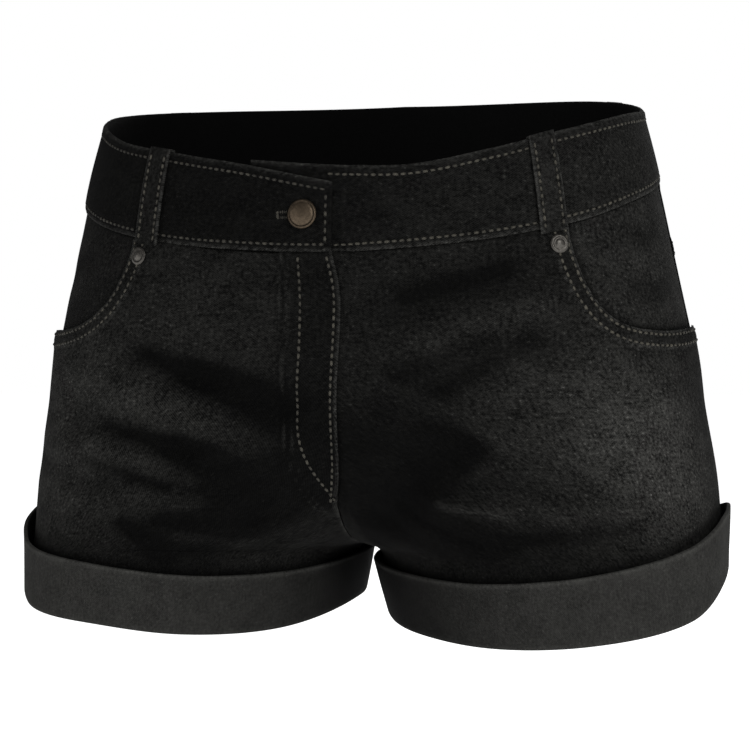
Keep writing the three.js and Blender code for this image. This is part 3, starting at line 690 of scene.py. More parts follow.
copper = metal_material("copper", (0.1, 0.076, 0.053), (0.006, 0.005, 0.004), 0.3)
nickel = metal_material("nickel", (0.1, 0.094, 0.085), (0.01, 0.009, 0.008), 0.3)


def floor_material():
    """A pale lit table: white, a little self-lit, with a faint grain."""
    material, tree, shader = new_material("pale_table")
    place = add_node(tree, "ShaderNodeTexCoord").outputs["Object"]
    colour = blend(tree, noise_at(tree, place, 300.0), (0.93, 0.93, 0.93, 1), (0.97, 0.97, 0.97, 1))
    set_inputs(
        tree, shader, Base_Color=colour, Roughness=0.8, Specular_IOR_Level=0.1,
        Emission_Color=(1, 1, 1, 1), Emission_Strength=0.86,
    )
    return material


floor.data.materials.append(floor_material())
print("thread, metals and table made")

# %% [markdown]
# ## Wear, painted light and painted shade
# The thighs are rubbed pale, the crotch, the fly and the band stay dark. Each pale or dark patch is
# a soft spot on the cloth. Folds add to it: a crest gains wear and painted light and a trough loses
# them. The troughs are also darkened with painted shade, which is kept as a number of its own.

# %% Wear, painted light and painted shade on the cloth
PATCHES = table(
    "side t z amount t_reach z_reach",
    (-1, 50, -150, 0.085, 24, 30),
    (-1, 24, -112, 0.025, 16, 26),
    (-1, 50, -206, 0.11, 24, 32),
    (-1, -10, -212, -0.06, 20, 40),
    (1, 54, -198, 0.18, 22, 38),
    (1, 46, -152, 0.08, 24, 34),
    (1, -14, -205, -0.07, 20, 40),
    (-1, 140, -150, 0.05, 36, 46),
    (1, 140, -150, 0.05, 36, 46),
)
# Shares of the folds' height: crests get wear and painted light, troughs get painted shade.
FOLD_WEAR_AND_LIGHT = (0.012, 0.05)
FOLD_SHADE = (0.03, 0.2)
DEEPEST_SHADE = 0.42


def wear_and_light_at(side, t, z, base=0.055):
    """Base wear plus soft spots, each a bell curve both ways, plus a share of the folds' height: wear and
    painted light on the crests, painted shade in the troughs.
    """
    total = np.full(np.broadcast(t, z).shape, float(base))
    for i in np.flatnonzero(PATCHES["side"] == side):
        round_body = bell(t - PATCHES["t"][i], PATCHES["t_reach"][i])
        total += PATCHES["amount"][i] * round_body * bell(z - PATCHES["z"][i], PATCHES["z_reach"][i])
    return total + folds_at(side, t, z, *FOLD_WEAR_AND_LIGHT)


def shade_at(side, t, z):
    """Painted shade in the troughs: it grows with the depth of the folds."""
    return np.clip(-folds_at(side, t, z, *FOLD_SHADE), 0, DEEPEST_SHADE)


print("wear between", wear_and_light_at(1, 50.0, -200.0).round(2), "and", wear_and_light_at(1, -20.0, -215.0).round(2))

# %% [markdown]
# ## Pocket mouths and fly
# A scooped mouth leaves the band steeply and runs level to the side seam: a superellipse. Its hem is
# folded under and stitched twice, so the cloth stands up there. The fly is a flap of one front over
# the other, with a raised edge and a curved line of stitches that holds the facing under it.

# %% Lines of the front
MOUTHS = table(
    "side start low end turn gape",
    (-1, 38, -123, -121, 9, 2.8),
    (1, 42.7, -125, -120.5, 12, 1.5),
)
MOUTH_FALL = 1.6
MOUTH_LIFT = 0.9
HIP_LOW = -133
FLY_EDGES = table(
    "z x",
    (-213, -HALF_GAP),
    (-192, 4),
    (-156, 6),
    (-122, 8.5),
    (-105, 8.2),
    (-86, 3.8),
)
FLY_WIDTH = 21.5
FLY_TURN = -168
FLY_END = -221
FLY_LIFT = 1.9
HEM_WIDTH = 8.6
HEM_TUCK = 1.9
MOUTH_ROWS = (2.0, 7.6)
SEAM_ROWS = (2.2, 7.8)
GROOVE_DEPTH = 0.22
GROOVE_WIDTH = 0.8


def mouth_row(side):
    """The numbers of one side's mouth."""
    i = list(WORDS).index(side)
    return (MOUTHS[key][i] for key in ("start", "low", "end", "turn", "gape"))


def mouth_height(side, t):
    """The mouth's height at an angle: a superellipse that rises a little at its end."""
    start, low, end, turn, _ = mouth_row(side)
    across = np.clip((SIDE_SEAM - t) / (SIDE_SEAM - start), 0, 1)
    drop = (1 - across**turn) ** (1 / MOUTH_FALL)
    return mix(band_seam(start), low, drop) + (end - low) * ease(t, 62, SIDE_SEAM)


def mouth_spots(side, count=500):
    """Angles and heights along a mouth, from the band to the side seam, at even distances."""
    start, _, _, turn, _ = mouth_row(side)
    steep = (1 - np.linspace(0, 1, 400) ** MOUTH_FALL) ** (1 / turn)
    t = np.sort(np.concatenate([SIDE_SEAM - (SIDE_SEAM - start) * steep, np.linspace(start, SIDE_SEAM, 400)]))
    z = mouth_height(side, t)
    length = running(np.hypot(np.diff(t) * ARC, np.diff(z)))
    even = np.linspace(0, length[-1], count)
    return np.interp(even, length, t), np.interp(even, length, z)


mouths = {side: mouth_spots(side) for side in (-1, 1)}
mouth_lines = {side: bare_point(side, *mouths[side]) for side in (-1, 1)}


def mouth_lift(side, t, z):
    """The pocket's edge stands off, most where the mouth gapes."""
    start, low, _, _, gape = mouth_row(side)
    along = bell(t - 80, 10)
    below = 1 - ease(low - z, 0, 26)
    seated = MOUTH_LIFT * ease(t - start, -17, -8) * (1 - ease(HIP_LOW - z, 8, 32))
    return seated + gape * along * below


def fly_line(z):
    """Distance of the fly's curved stitching from the centre: straight, then a quarter of an oval."""
    turned = np.clip((FLY_TURN - z) / (FLY_TURN - FLY_END), 0, 1)
    return -FLY_WIDTH * np.sqrt(1 - turned**2)


fly_edge = through(FLY_EDGES, "z", "x")


def fly_lift(t, z):
    """The flap stands over the other front, and past the centre it follows that front's oval."""
    here = bare_point(-1, t, z)
    x = here[..., 0]
    other = bare_point(1, angle_at(z, np.maximum(x, 0)), z)[..., 1]
    over = np.where(x > 0, np.maximum(here[..., 1] - other, 0), 0)
    return over + FLY_LIFT * ease(x, fly_line(z) - 3, fly_line(z) + 2) * ease(z, FLY_END - 4, FLY_END + 6)


def hem_relief(distance, width, height, grooves):
    """A folded hem: raised as far as its width, with a soft groove under each row of stitches."""
    raised = height * (1 - ease(distance, width - 0.8, width + 1.0))
    for groove in grooves:
        raised -= GROOVE_DEPTH * bell(distance - groove, GROOVE_WIDTH)
    return raised


def roping(along, amount=0.12):
    """Puckers along a stitched seam: two waves whose lengths don't fit each other."""
    return amount * (np.sin(along / 1.25) + 0.6 * np.sin(along / 2.9 + 1.3))


def under_band(t, z, height):
    """The seam allowance that is turned up into the band lifts the cloth just below it."""
    below_band = band_seam(t) - z
    return height * (1 - ease(below_band, 1.5, 5)) * ease(below_band, 0, 0.8)


def front_out(side, t, z):
    """How far a front's outer face stands off the body, with its hems and seams."""
    here = bare_point(side, t, z)
    shape = here.shape[:-1]
    away, which = distance_to(mouth_lines[side], here.reshape(-1, 3))
    away = away.reshape(shape)
    ripple = roping(which.reshape(shape) * 0.23) * (1 - ease(away, 6, 12))
    total = mouth_lift(side, t, z) + hem_relief(away, HEM_WIDTH, 0.5, MOUTH_ROWS) + ripple
    total += under_band(t, z, 0.45)
    if side < 0:
        x = here[..., 0]
        total += fly_lift(t, z)
        edge = fly_edge(z) - x
        total += hem_relief(edge, 5.5, 0.35, (3.2,)) * ease(z, FLY_END, FLY_END + 12)
        from_line = x - fly_line(z)
        ridge = bell(from_line + 1.2, 1.1) * ease(z, FLY_END - 2, FLY_END + 8)
        total += 0.35 * ridge
    return total


print("mouth runs", np.linalg.norm(np.diff(mouth_lines[1], axis=0), axis=1).sum().round(), "mm")

# %% [markdown]
# ## Fronts
# A front is one panel from the band to under the cuff. It is worked out on a full grid of angles
# and heights, then cut along the mouth: points past it are dropped and those along it are drawn on
# to the line. Cutting a finished mesh with a Boolean would leave long slivers there.

# %% Front panels
LINE_COLUMNS = "distance width amount"
MOUTH_WEAR = table(LINE_COLUMNS, (0, 1.0, 0.16), (9.0, 0.7, 0.11))
# The shade tables are painted shade: along the mouth's hem, and on both sides of the fly's stitched ridge.
MOUTH_SHADE = table(LINE_COLUMNS, (4.8, 1.2, 0.3), (10.5, 0.8, 0.3))
FLY_WEAR = table(LINE_COLUMNS, (-1.2, 0.7, 0.085), (2.6, 0.7, 0.068))
FLY_SHADE = table(LINE_COLUMNS, (0.7, 0.8, 0.4), (-3.2, 0.9, 0.4))


def lines_beside(rows, distance):
    """Soft lines beside an edge: a sum of bell curves of the distance from it."""
    return sum(amount * bell(distance - place, width) for place, width, amount in zip(*rows.values()))


def trimmed(keep, faces):
    """Faces whose corners are kept; one with a single corner dropped becomes a triangle."""
    inside = keep[faces]
    whole = faces[inside.all(axis=1)]
    part = inside.sum(axis=1) == 3
    lost = (~inside[part]).argmax(axis=1)
    order = (lost[:, None] + np.arange(1, 4)) % 4
    three = np.take_along_axis(faces[part], order, axis=1)
    return np.concatenate([whole, np.concatenate([three, three[:, 2:]], axis=1)])


def rise_and_leg(top, bottom, rise_rows, leg_rows):
    """Heights of the rows: from the top to the crotch, closer near it, and on down the leg."""
    rise = (1 - np.linspace(0, 1, rise_rows)) ** 1.25
    leg = np.linspace(0, 1, leg_rows)[1:] ** 1.1
    upper = mix(CROTCH, top[:, None], rise[None])
    lower = mix(CROTCH, bottom[:, None], leg[None])
    return np.concatenate([upper, lower], axis=1)


def add_front(side):
    """A front panel: the grid of spots, cut along the mouth, moved out and given its wall."""
    share = steps(150, 178)
    column = share * (SIDE_SEAM - SEAM_ANGLE)
    top = band_seam(column) + LAP
    bottom = hem[side](mix(-90, SIDE_SEAM, share)) + HEM_TUCK
    z = rise_and_leg(top, bottom, 124, 24)
    start = np.maximum(angle_at(z, -LAP), -90 + SEAM_ANGLE)
    t = mix(start, SIDE_SEAM - SEAM_ANGLE, share[:, None])
    if side < 0:
        flap = np.maximum(angle_at(z, -fly_edge(z)), -90 + SEAM_ANGLE) - start
        t = t + flap * (1 - share[:, None]) ** 8
    mouth_t, mouth_z = mouths[side]
    faces = quads(np.arange(t.size).reshape(t.shape))
    top_row = np.zeros(t.shape, bool)
    top_row[:, 0] = t[:, 0] < mouth_t[0]
    t, z, top_row = t.ravel(), z.ravel(), top_row.ravel()
    away, which = distance_to(mouth_lines[side], bare_point(side, t, z))
    outside = (t > mouth_t[0]) & (z > mouth_height(side, t))
    faces = trimmed(np.where(outside, -away, away) > -0.5, faces)
    rim_points = np.unique(open_edges(faces))
    drawn = rim_points[(away[rim_points] < 2.2) & ~top_row[rim_points] & (t[rim_points] < SIDE_SEAM - 0.5)]
    t[drawn] = mouth_t[which[drawn]]
    z[drawn] = mouth_z[which[drawn]]
    used, faces = np.unique(faces, return_inverse=True)
    faces = faces.reshape(-1, 4)
    t, z = t[used], z[used]
    away = distance_to(mouth_lines[side], bare_point(side, t, z))[0]
    outer = on_cloth(side, t, z, front_out(side, t, z))
    inward = -cloth_normal(side, t, z) * DENIM
    wear_and_light = wear_and_light_at(side, t, z) + lines_beside(MOUTH_WEAR, away)
    # Painted shade in the fold troughs and along the mouth's hem.
    shade = shade_at(side, t, z) + lines_beside(MOUTH_SHADE, away)
    # Painted shadow: a dark line on the leg along the top edge of the cuff.
    over_cuff = z - hem[side](t) - cuff_height[side](t)
    shade += 0.5 * (1 - ease(np.abs(over_cuff), 0, 6))
    wear_and_light += 0.06 * bell(outer[:, 0], 0.9) * (1 - ease(z, -228, -216))
    if side < 0:
        wear_and_light += 0.13 * bell(fly_edge(z) - outer[:, 0], 1.0)
        from_line = outer[:, 0] - fly_line(z)
        above_end = ease(z, FLY_END - 2, FLY_END + 8)
        wear_and_light += lines_beside(FLY_WEAR, from_line) * above_end
        # Painted shade on both sides of the fly's stitched ridge.
        shade += lines_beside(FLY_SHADE, from_line) * above_end
        wear_and_light -= 0.025 * ease(from_line, -4, 0) * ease(z, FLY_END, FLY_END + 10)
    fields = {"wear_and_light": wear_and_light, "shade": shade}
    word = WORDS[side]
    piece = add_wall(
        f"front_{word}", outer, inward, faces, (denim, shaded_inside_cloth),
        [f"front_panel_{word}"], flat_map(side * t * ARC, z), fields,
    )


for side in (-1, 1):
    add_front(side)

# %% [markdown]
# ## Back, yokes and hidden cloth
# The back has a yoke over a panel on each side, joined by raised double-stitched seams. Hip pieces
# fill the pocket mouths and the bags hang inside them. All are plain grids, because their edges
# follow the angles and heights; the patch pockets lie on the panels, one thickness further out.

# %% Plain sheets
def grid(first, last):
    """Every pair of a column share and a row share."""
    return np.meshgrid(first, last, indexing="ij")


def add_sheet(name, side, t, z, out, wall, material, node, wear_and_light, shade=None):
    """A sheet of cloth on a grid of spots, with its wall, its wear and painted light, its painted shade and
    its cut.
    """
    shape = t.shape
    faces = quads(np.arange(t.size).reshape(shape))
    t, z, out, wear_and_light = (np.broadcast_to(values, shape).ravel() for values in (t, z, out, wear_and_light))
    outer = on_cloth(side, t, z, out)
    inward = -cloth_normal(side, t, z) * wall
    shade = shade_at(side, t, z) if shade is None else np.broadcast_to(shade, shape).ravel()
    fields = {"wear_and_light": wear_and_light, "shade": shade}
    # Inner faces of denim take the near-black cloth that stands for painted shade.
    inner = shaded_inside_cloth if material is denim else material
    uv = flat_map(side * t * ARC, z)
    piece = add_wall(name, outer, inward, faces, (material, inner), [node], uv, fields)


def yoke_seam(t):
    """The yoke's lower edge falls evenly from the side seam to the middle of the back."""
    return mix(-72, -98, np.clip((t - SIDE_SEAM) / (180 - SIDE_SEAM), 0, 1))


def seam_relief(distance, height=0.45):
    """A felled seam: the cloth is doubled for 9 mm beside it and dips under two rows of stitches."""
    return hem_relief(np.abs(distance), 9.0, height, SEAM_ROWS)


def back_out(side, t, z):
    """How far a back panel's outer face stands off the body: its seams."""
    total = seam_relief(yoke_seam(t) - z) + roping(t * ARC, 0.08) * (1 - ease(yoke_seam(t) - z, 6, 12))
    from_middle = np.abs(bare_point(side, t, z)[..., 0]) + np.maximum(CROTCH - z, 0)
    if side > 0:
        total += seam_relief(np.where(t > 130, from_middle, 30), 0.35)
    return total


def yoke_out(side, t, z):
    """The yoke is flat but for the doubled cloth beside the middle seam and under the band."""
    total = under_band(t, z, 0.4)
    if side > 0:
        total += seam_relief(np.abs(bare_point(side, t, z)[..., 0]), 0.35)
    return total


for side, word in WORDS.items():
    share = steps(130, 180)
    top = yoke_seam(mix(SIDE_SEAM, 180, share)) + LAP
    bottom = hem[side](mix(SIDE_SEAM, 270, share)) + HEM_TUCK
    z = rise_and_leg(top, bottom, 104, 24)
    end = 180 - np.maximum(angle_at(z, -LAP), -90 + SEAM_ANGLE)
    t = mix(SIDE_SEAM + SEAM_ANGLE, end, share[:, None])
    add_sheet(
        f"back_{word}", side, t, z, back_out(side, t, z), DENIM, denim,
        f"back_panel_{word}", wear_and_light_at(side, t, z),
    )
    across, down = grid(steps(90, 150), steps(40, 50))
    t = mix(SIDE_SEAM + SEAM_ANGLE, 180 - SEAM_ANGLE, across)
    z = mix(band_seam(t) + LAP, yoke_seam(t) - LAP, down)
    add_sheet(
        f"yoke_{word}", side, t, z, yoke_out(side, t, z), DENIM, denim,
        f"back_yoke_{word}", wear_and_light_at(side, t, z, 0.05),
    )

# %% Hip pieces and bags
HIP_OUT = MOUTH_LIFT - DENIM - 0.65


def whiskers(t, z, side):
    """Small level creases of a hip piece that is sat in: waves that wander, fading at the edges."""
    wave = np.sin(z / 4.6 + 1.4 * np.sin(t / 9 + side) + side)
    return 0.22 * wave * bell(t - 66, 13) * bell(z + 92, 22)


for side, word in WORDS.items():
    across, down = grid(steps(70, 102), steps(56, 80))
    t = mix(mouths[side][0][0] - 4, SIDE_SEAM - SEAM_ANGLE, across)
    z = mix(band_seam(t) + LAP, HIP_LOW, down)
    crease = whiskers(t, z, side)
    away = distance_to(mouth_lines[side], bare_point(side, t, z).reshape(-1, 3))[0].reshape(t.shape)
    # Painted light: the right hip piece is lighter than the left.
    base = 0.055 if side < 0 else 0.11
    # Painted shade in the whisker troughs and just under the band.
    shade = np.clip(-crease * 1.2, 0, 0.3) + 0.3 * (1 - ease(band_seam(t) - z, 0, 3))
    # Painted shadow under the pocket's raised mouth edge.
    shade += 0.85 * bell(away, 2.4)
    # The whisker crests get wear and painted light.
    add_sheet(
        f"hip_{word}", side, t, z, HIP_OUT + np.minimum(crease, 0.12), POCKETING, denim,
        f"hip_piece_{word}", base + 0.14 * crease, shade,
    )
    across, down = grid(steps(50, 130), steps(50, 100))
    t = mix(26, SIDE_SEAM - 1, across)
    low = -176 + 26 * np.abs(2 * across - 1) ** 4
    z = mix(band_seam(t) + LAP, low, down)
    add_sheet(
        f"bag_{word}", side, t, z, HIP_OUT - POCKETING - 0.3 - 2.4 * ease(down, 0, 0.3), POCKETING,
        pocket_cloth, f"pocket_bag_{word}", 0.2,
    )

# %% Back pockets
POCKET_MIDDLE = 139
POCKET_HALF_TURN = 24.3
POCKET_HALF = 52
POCKET_LENGTH = 88
POCKET_ROWS = (2.0, 7.4)
POCKET_TOP_ROWS = (2.2, 11.5)


def pocket_spot(across, down):
    """Angle and height on a patch pocket: it narrows a little and ends in a shallow point."""
    low = mix(-206, -192, np.abs(across))
    return POCKET_MIDDLE + POCKET_HALF_TURN * mix(1, 0.9, down) * across, mix(-108 + 6 * across, low, down)


for side, word in WORDS.items():
    across, down = grid(2 * steps(84, 110) - 1, steps(80, 90))
    t, z = pocket_spot(across, down)
    from_side = (1 - np.abs(across)) * POCKET_HALF
    from_top = down * POCKET_LENGTH
    relief = hem_relief(from_top, 13.5, 0.45, POCKET_TOP_ROWS)
    relief += hem_relief(np.minimum(from_side, POCKET_LENGTH - from_top), 8.4, 0.3, POCKET_ROWS)
    wear_and_light = wear_and_light_at(side, t, z, 0.07) + 0.06 * bell(np.minimum(from_side, from_top), 1.2)
    add_sheet(
        f"patch_pocket_{word}", side, t, z, DENIM + 0.6 + relief, DENIM, denim,
        f"back_pocket_{word}", wear_and_light,
    )

# %% Fly facing, zip tape and shield
FLY_TOP = float(band_seam(0.0)) - HALF_GAP
FLY_STRIPS = table(
    "start end out wall",
    (-25, -8.5, -1.8, 1.0),
    (-16, 8, -3.4, 1.2),
    (-22, 14, -5.2, 1.2),
)
STRIP_NAMES = ("fly_facing", "zip", "fly_shield")


def strip_spots(start, end, top, foot, columns=14, rows=70):
    """A strip down the centre front between two distances from the centre plane."""
    across, down = grid(steps(columns, abs(end - start)), steps(rows, abs(top - foot)))
    x = mix(start, end, across)
    z = mix(top, foot, down)
    return angle_at(z, -x), z


for i, node in enumerate(STRIP_NAMES):
    start, end = FLY_STRIPS["start"][i], FLY_STRIPS["end"][i]
    t, z = strip_spots(start, end, FLY_TOP, -190)
    material = tape_cloth if node == "zip" else denim
    add_sheet(
        f"{node}_cloth", -1, t, z, FLY_STRIPS["out"][i], FLY_STRIPS["wall"][i], material,
        node, 0.04,
    )

# %% [markdown]
# ## Waistband
# The band is one strip that runs round the body and laps at the front: the buttoned end on top, the
# other end under it. Its cross-section is a closed loop of heights and offsets, with a rolled top
# and a dip under each row of stitches, carried round as a loft and closed flat at both ends.

# %% The band
BAND_OUT = 1.3
LAP_SHIFT = 1.5
LAP_END = 3.5
UNDERLAP = 43
BAND_TUCK = 0.9
BAND_BELLY = 0.3
TOP_ROW = 4.8
FOOT_ROW = 3.6
END_ROW = 3.0
BUTTON_LEVEL = -66


def band_face(share):
    """Offset of the band's outer face at a share of its height: tucked in at the foot, full above."""
    foot = -BAND_TUCK * (1 - ease(share, 0, 0.13))
    belly = BAND_BELLY * np.sin(np.pi * np.clip(share, 0, 1))
    return foot + belly


def band_relief(above, below, along):
    """Rolled top edge, dips under both rows of stitches and their puckers."""
    top_roll = 0.35 * (1 - ease(below, 3.6, 5.4))
    foot_roll = 0.3 * (1 - ease(above, 2.6, 4.2)) * ease(above, 0, 1)
    dips = 0.35 * bell(below - TOP_ROW, 0.9) + 0.35 * bell(above - FOOT_ROW, 0.9)
    ripple = roping(along, 0.1) * (bell(below, 5) + bell(above, 4))
    return top_roll + foot_roll - dips + ripple


def lap_lift(side, t):
    """At the front the buttoned end lies on top, and the other end under it."""
    return LAP_SHIFT * (1 - ease(t, 16, 26)) if side < 0 else -LAP_SHIFT * (1 - ease(t, 2, 8))


def band_columns(count):
    """Side, angle and lift of each column: the left half out from the lap, then the right half back
    to the end under it."""
    share = steps(count, 450)
    left = mix(float(angle_at(BUTTON_LEVEL, -LAP_END)), 180, share**1.1)
    right = mix(-float(angle_at(BUTTON_LEVEL, UNDERLAP)), 180, share**1.1)[::-1][1:]
    side = np.concatenate([np.full(count, -1.0), np.full(count - 1, 1.0)])
    lift = np.concatenate([lap_lift(-1, left), lap_lift(1, right)])
    return side, np.concatenate([left, right]), lift


def add_band():
    """The band as a loft of closed sections, with rounded ends."""
    side, t, lift = band_columns(300)
    high = np.where(side < 0, rim[-1](t), rim[1](t))
    low = band_seam(t) - LAP
    face = np.concatenate([[0, 0.02, 0.05], np.linspace(0.085, 0.93, 30), [0.96, 0.985, 1.0]])
    inside = np.linspace(1, 0, 18)
    along = running(np.abs(np.diff(t * ARC * 0.9)))
    z_out = mix(low[:, None], high[:, None], face[None])
    above, below = z_out - low[:, None], high[:, None] - z_out
    offset = BAND_OUT + lift[:, None] + band_face(face)[None] + band_relief(above, below, along[:, None])
    offset -= 0.75 * (1 - ease(below, 0, 1.3))
    z_in = mix(low[:, None], high[:, None], inside[None])
    inner = BAND_OUT + lift[:, None] - BAND_WALL + 0.7 * (1 - ease(high[:, None] - z_in, 0, 1.3))
    heights = np.concatenate([z_out, z_in], axis=1)
    heights[:, len(face) - 1:len(face) + 1] += 0.1
    offsets = np.concatenate([offset, inner], axis=1)
    middle = offsets.mean(axis=1, keepdims=True)
    round_end = np.ones((len(t), 1))
    round_end[[0, -1]] = 0.4
    offsets = middle + (offsets - middle) * round_end
    points = np.zeros((*heights.shape, 3))
    for one in (-1, 1):
        rows = side == one
        points[rows] = off_body(one, t[rows][:, None] + 0 * heights[rows], heights[rows], offsets[rows])
    count = heights.shape[1]
    index, ring = closed_ring(len(t), count)
    pair = np.arange(count // 2 - 1)
    cap = np.stack([pair, pair + 1, count - 2 - pair, count - 1 - pair], -1)
    faces = np.concatenate([quads(ring), cap, cap[:, ::-1] + index[-1, 0]])
    is_inside = (np.arange(count)[None] >= len(face)) & (np.arange(count)[None] < count - 1)
    kind = np.concatenate([np.broadcast_to(is_inside, (len(t) - 1, count)).ravel(), np.zeros(2 * len(cap))])
    near_edge = np.concatenate([np.minimum(above, below), np.full(z_in.shape, 9.0)], axis=1)
    # Painted light: the band's right half is lighter, most at the side, and its left half a little darker.
    painted_light_on_right = 0.06 * np.sin(np.radians(np.clip(t, 0, 180))) * side
    wear_and_light = 0.03 + np.clip(painted_light_on_right, -0.008, 0.06)[:, None] + 0.15 * bell(near_edge, 1.3)
    uv = flat_map(along[:, None], heights)
    fields = {"wear_and_light": wear_and_light.ravel(), "shade": np.zeros(heights.size)}
    piece = add_piece(
        "band", points.reshape(-1, 3), faces, (denim, shaded_inside_cloth), ["waistband"], uv, fields, kind
    )


add_band()

# %% [markdown]
# ## Cuffs
# Each leg's cloth is turned up outside itself. In section that is a hook: in at the leg, round the
# fold and up to an edge that stands a little off. The corners of the hook are listed, rounded with a
# closed smooth curve, and carried round the leg.

# %% Cuffs
CUFF_SECTION = table(
    "out up share",
    (-1.4, 0.5, 0),
    (0.6, 0, 0),
    (2.4, 0.5, 0),
    (3.4, 3, 0),
    (4.6, 0, 0.55),
    (5.4, -1, 1),
    (4.6, 0, 1),
    (3.2, -0.4, 1),
    (2.2, 0, 0.55),
    (1, 3, 0),
    (0.7, 1.35, 0),
    (-1.4, 1.35, 0),
)


CUFF_COLUMNS = 300
LEG_ARC = 1.75
# Angles of each cuff's inner end, between the legs, where painted shade darkens it.
SHADED_INNER_ENDS = {-1: -88, 1: -68}


def closed_curve(corners, between=6):
    """A smooth closed curve through corners: between two of them, the cubic that also looks at the
    ones before and after, pulled half way to the straight line."""
    s = np.linspace(0, 1, between, endpoint=False)[None, :, None]
    p0, p1, p2, p3 = (np.roll(corners, k, axis=0)[:, None] for k in (1, 0, -1, -2))
    curve = cubic(p1, p2, (p2 - p0) * 0.3, (p3 - p1) * 0.3, s)
    return mix(curve, mix(p1, p2, s), 0.5).reshape(-1, corners.shape[1])


def add_cuff(side):
    """A cuff as a ring of hook sections, a little uneven round the leg."""
    section = closed_curve(np.stack([CUFF_SECTION[key] for key in ("out", "up", "share")], -1))
    t = np.linspace(-90, 270, CUFF_COLUMNS, endpoint=False)[:, None]
    low, height = hem[side](t), cuff_height[side](t)
    turn = np.radians(t)
    wobble = 0.22 * np.sin(5 * turn + side) + 0.16 * np.sin(11 * turn + 2) + 0.12 * np.sin(23 * turn)
    lean = section[None, :, 2]
    z = low + section[None, :, 1] + lean * (height + 0.5 * wobble)
    out = section[None, :, 0] + wobble * lean
    points = off_body(side, t + 0 * z, z, out, True)
    count = points.shape[1]
    _, ring = closed_ring(len(points), count)
    ring = np.concatenate([ring, ring[:1]])
    up = (z - low) / height
    outside = (np.arange(count) > 6) & (np.arange(count) < 42)
    # Painted shade: the cuff's inner end, facing the other leg, is darker.
    inner_end_painted_shade = 0.19 * bell(t - SHADED_INNER_ENDS[side] - 360 * (t > 90), 44)
    wear_and_light = 0.205 - inner_end_painted_shade + 0.02 * np.sin(2 * turn) + 0.13 * bell(up - 0.98, 0.04)
    wear_and_light += 0.04 * bell(up, 0.06)
    # Painted shade on the hook's hidden faces, those turned to the leg.
    shade = np.where(outside[None], 0, 0.45) + 0 * z
    uv = flat_map(t * LEG_ARC, z)
    word = WORDS[side]
    piece = add_piece(
        f"turned_cuff_{word}", points.reshape(-1, 3), quads(ring), (cuff_cloth,),
        [f"cuff_{word}"], uv, {"wear_and_light": wear_and_light.ravel(), "shade": shade.ravel()},
    )


for side in (-1, 1):
    add_cuff(side)

# %% [markdown]
# ## Belt loops
# A belt loop is a strip, folded in three, laid over the band and tacked at both ends. In section,
# along its length, it is a thin closed hook; the section is rounded and swept across the strip, with
# a rolled edge and a dip under each of its two rows of stitches.

# %% Belt loops
LOOPS = table(
    "side t hooked",
    (-1, 34.4, 1),
    (1, 39.8, 1),
    (-1, 122, 0),
    (1, 122, 0),
    (1, 180, 0),
)
LOOP_NAMES = ("front_left", "front_right", "back_left", "back_right", "back_middle")
LOOP_WIDTH = 14
LOOP_WALL = 1.4
LOOP_TAIL = 2.4
LOOP_ROW = 2.3
LOOP_SEAT = BAND_OUT + BAND_BELLY + 0.3


def loop_section(low, high, hooked):
    """Height and offset of the corners of a loop's section, up its outer face and down its inner."""
    heights = [low, mix(low, high, 0.25), mix(low, high, 0.6), high - (3 if hooked else 0.6)]
    offsets = [LOOP_SEAT, LOOP_SEAT + 0.6, LOOP_SEAT + 0.7, LOOP_SEAT]
    outer = [(z, out + LOOP_WALL) for z, out in zip(heights, offsets)]
    inner = list(zip(heights, offsets))
    if hooked:
        outer += [(high + 0.9, LOOP_SEAT + LOOP_WALL - 0.4), (high + 0.3 + LOOP_WALL, BAND_OUT - BAND_WALL)]
        inner += [(high + 0.3, LOOP_SEAT), (high + 0.3, BAND_OUT - BAND_WALL)]
    return np.array(outer + inner[::-1])


def loop_angles(side, t, count):
    """Angles across a loop's width, and the distance of each from the nearer edge."""
    z = (rim[side](t) + band_seam(t)) / 2
    per_degree = np.linalg.norm(bare_point(side, t + 0.5, z) - bare_point(side, t - 0.5, z))
    across = steps(count, LOOP_WIDTH)
    return t + (across - 0.5) * LOOP_WIDTH / per_degree, np.minimum(across, 1 - across) * LOOP_WIDTH


def add_loop(name, side, t, hooked):
    """A loop as a row of rounded sections across its width, closed at both edges."""
    angles, from_edge = loop_angles(side, t, 34)
    folded = np.where(angles > 180, 360 - angles, angles)
    rows = []
    for angle, fold, edge in zip(angles, folded, from_edge):
        ring = closed_curve(loop_section(band_seam(fold) - LOOP_TAIL, rim[side](fold), hooked))
        half = len(ring) // 2
        relief = 0.2 * (1 - ease(edge, 0.9, 1.8)) - 0.28 * bell(edge - LOOP_ROW, 0.7)
        relief -= 0.5 * (1 - ease(edge, 0, 0.7))
        ring[:half, 1] += relief
        rows.append(off_body(side, np.full(len(ring), angle), ring[:, 0], ring[:, 1]))
    points = np.array(rows)
    count = points.shape[1]
    index, around = closed_ring(len(points), count)
    last = count - 6
    pair = np.arange(-3, last // 2)
    cap = np.stack([pair + 1, last - pair - 1, last - pair, pair], -1) % count
    faces = np.concatenate([quads(around), cap, cap[:, ::-1] + index[-1, 0]])
    edge = np.broadcast_to(from_edge[:, None], index.shape).ravel()
    # Worn edges, plus painted light: the loops on the right side are lighter.
    wear_and_light = 0.06 + 0.13 * bell(edge, 0.9) + (0.03 if side > 0 else 0)
    uv = flat_map(angles[:, None] * ARC, points[..., 2])
    piece = add_piece(
        f"loop_{name}", points.reshape(-1, 3), faces, (denim,), [f"belt_loop_{name}"],
        uv, {"wear_and_light": wear_and_light, "shade": 0 * wear_and_light},
    )


loops = [(name, int(side), t, bool(hooked)) for name, side, t, hooked in zip(LOOP_NAMES, *LOOPS.values())]
for row in loops:
    add_loop(*row)

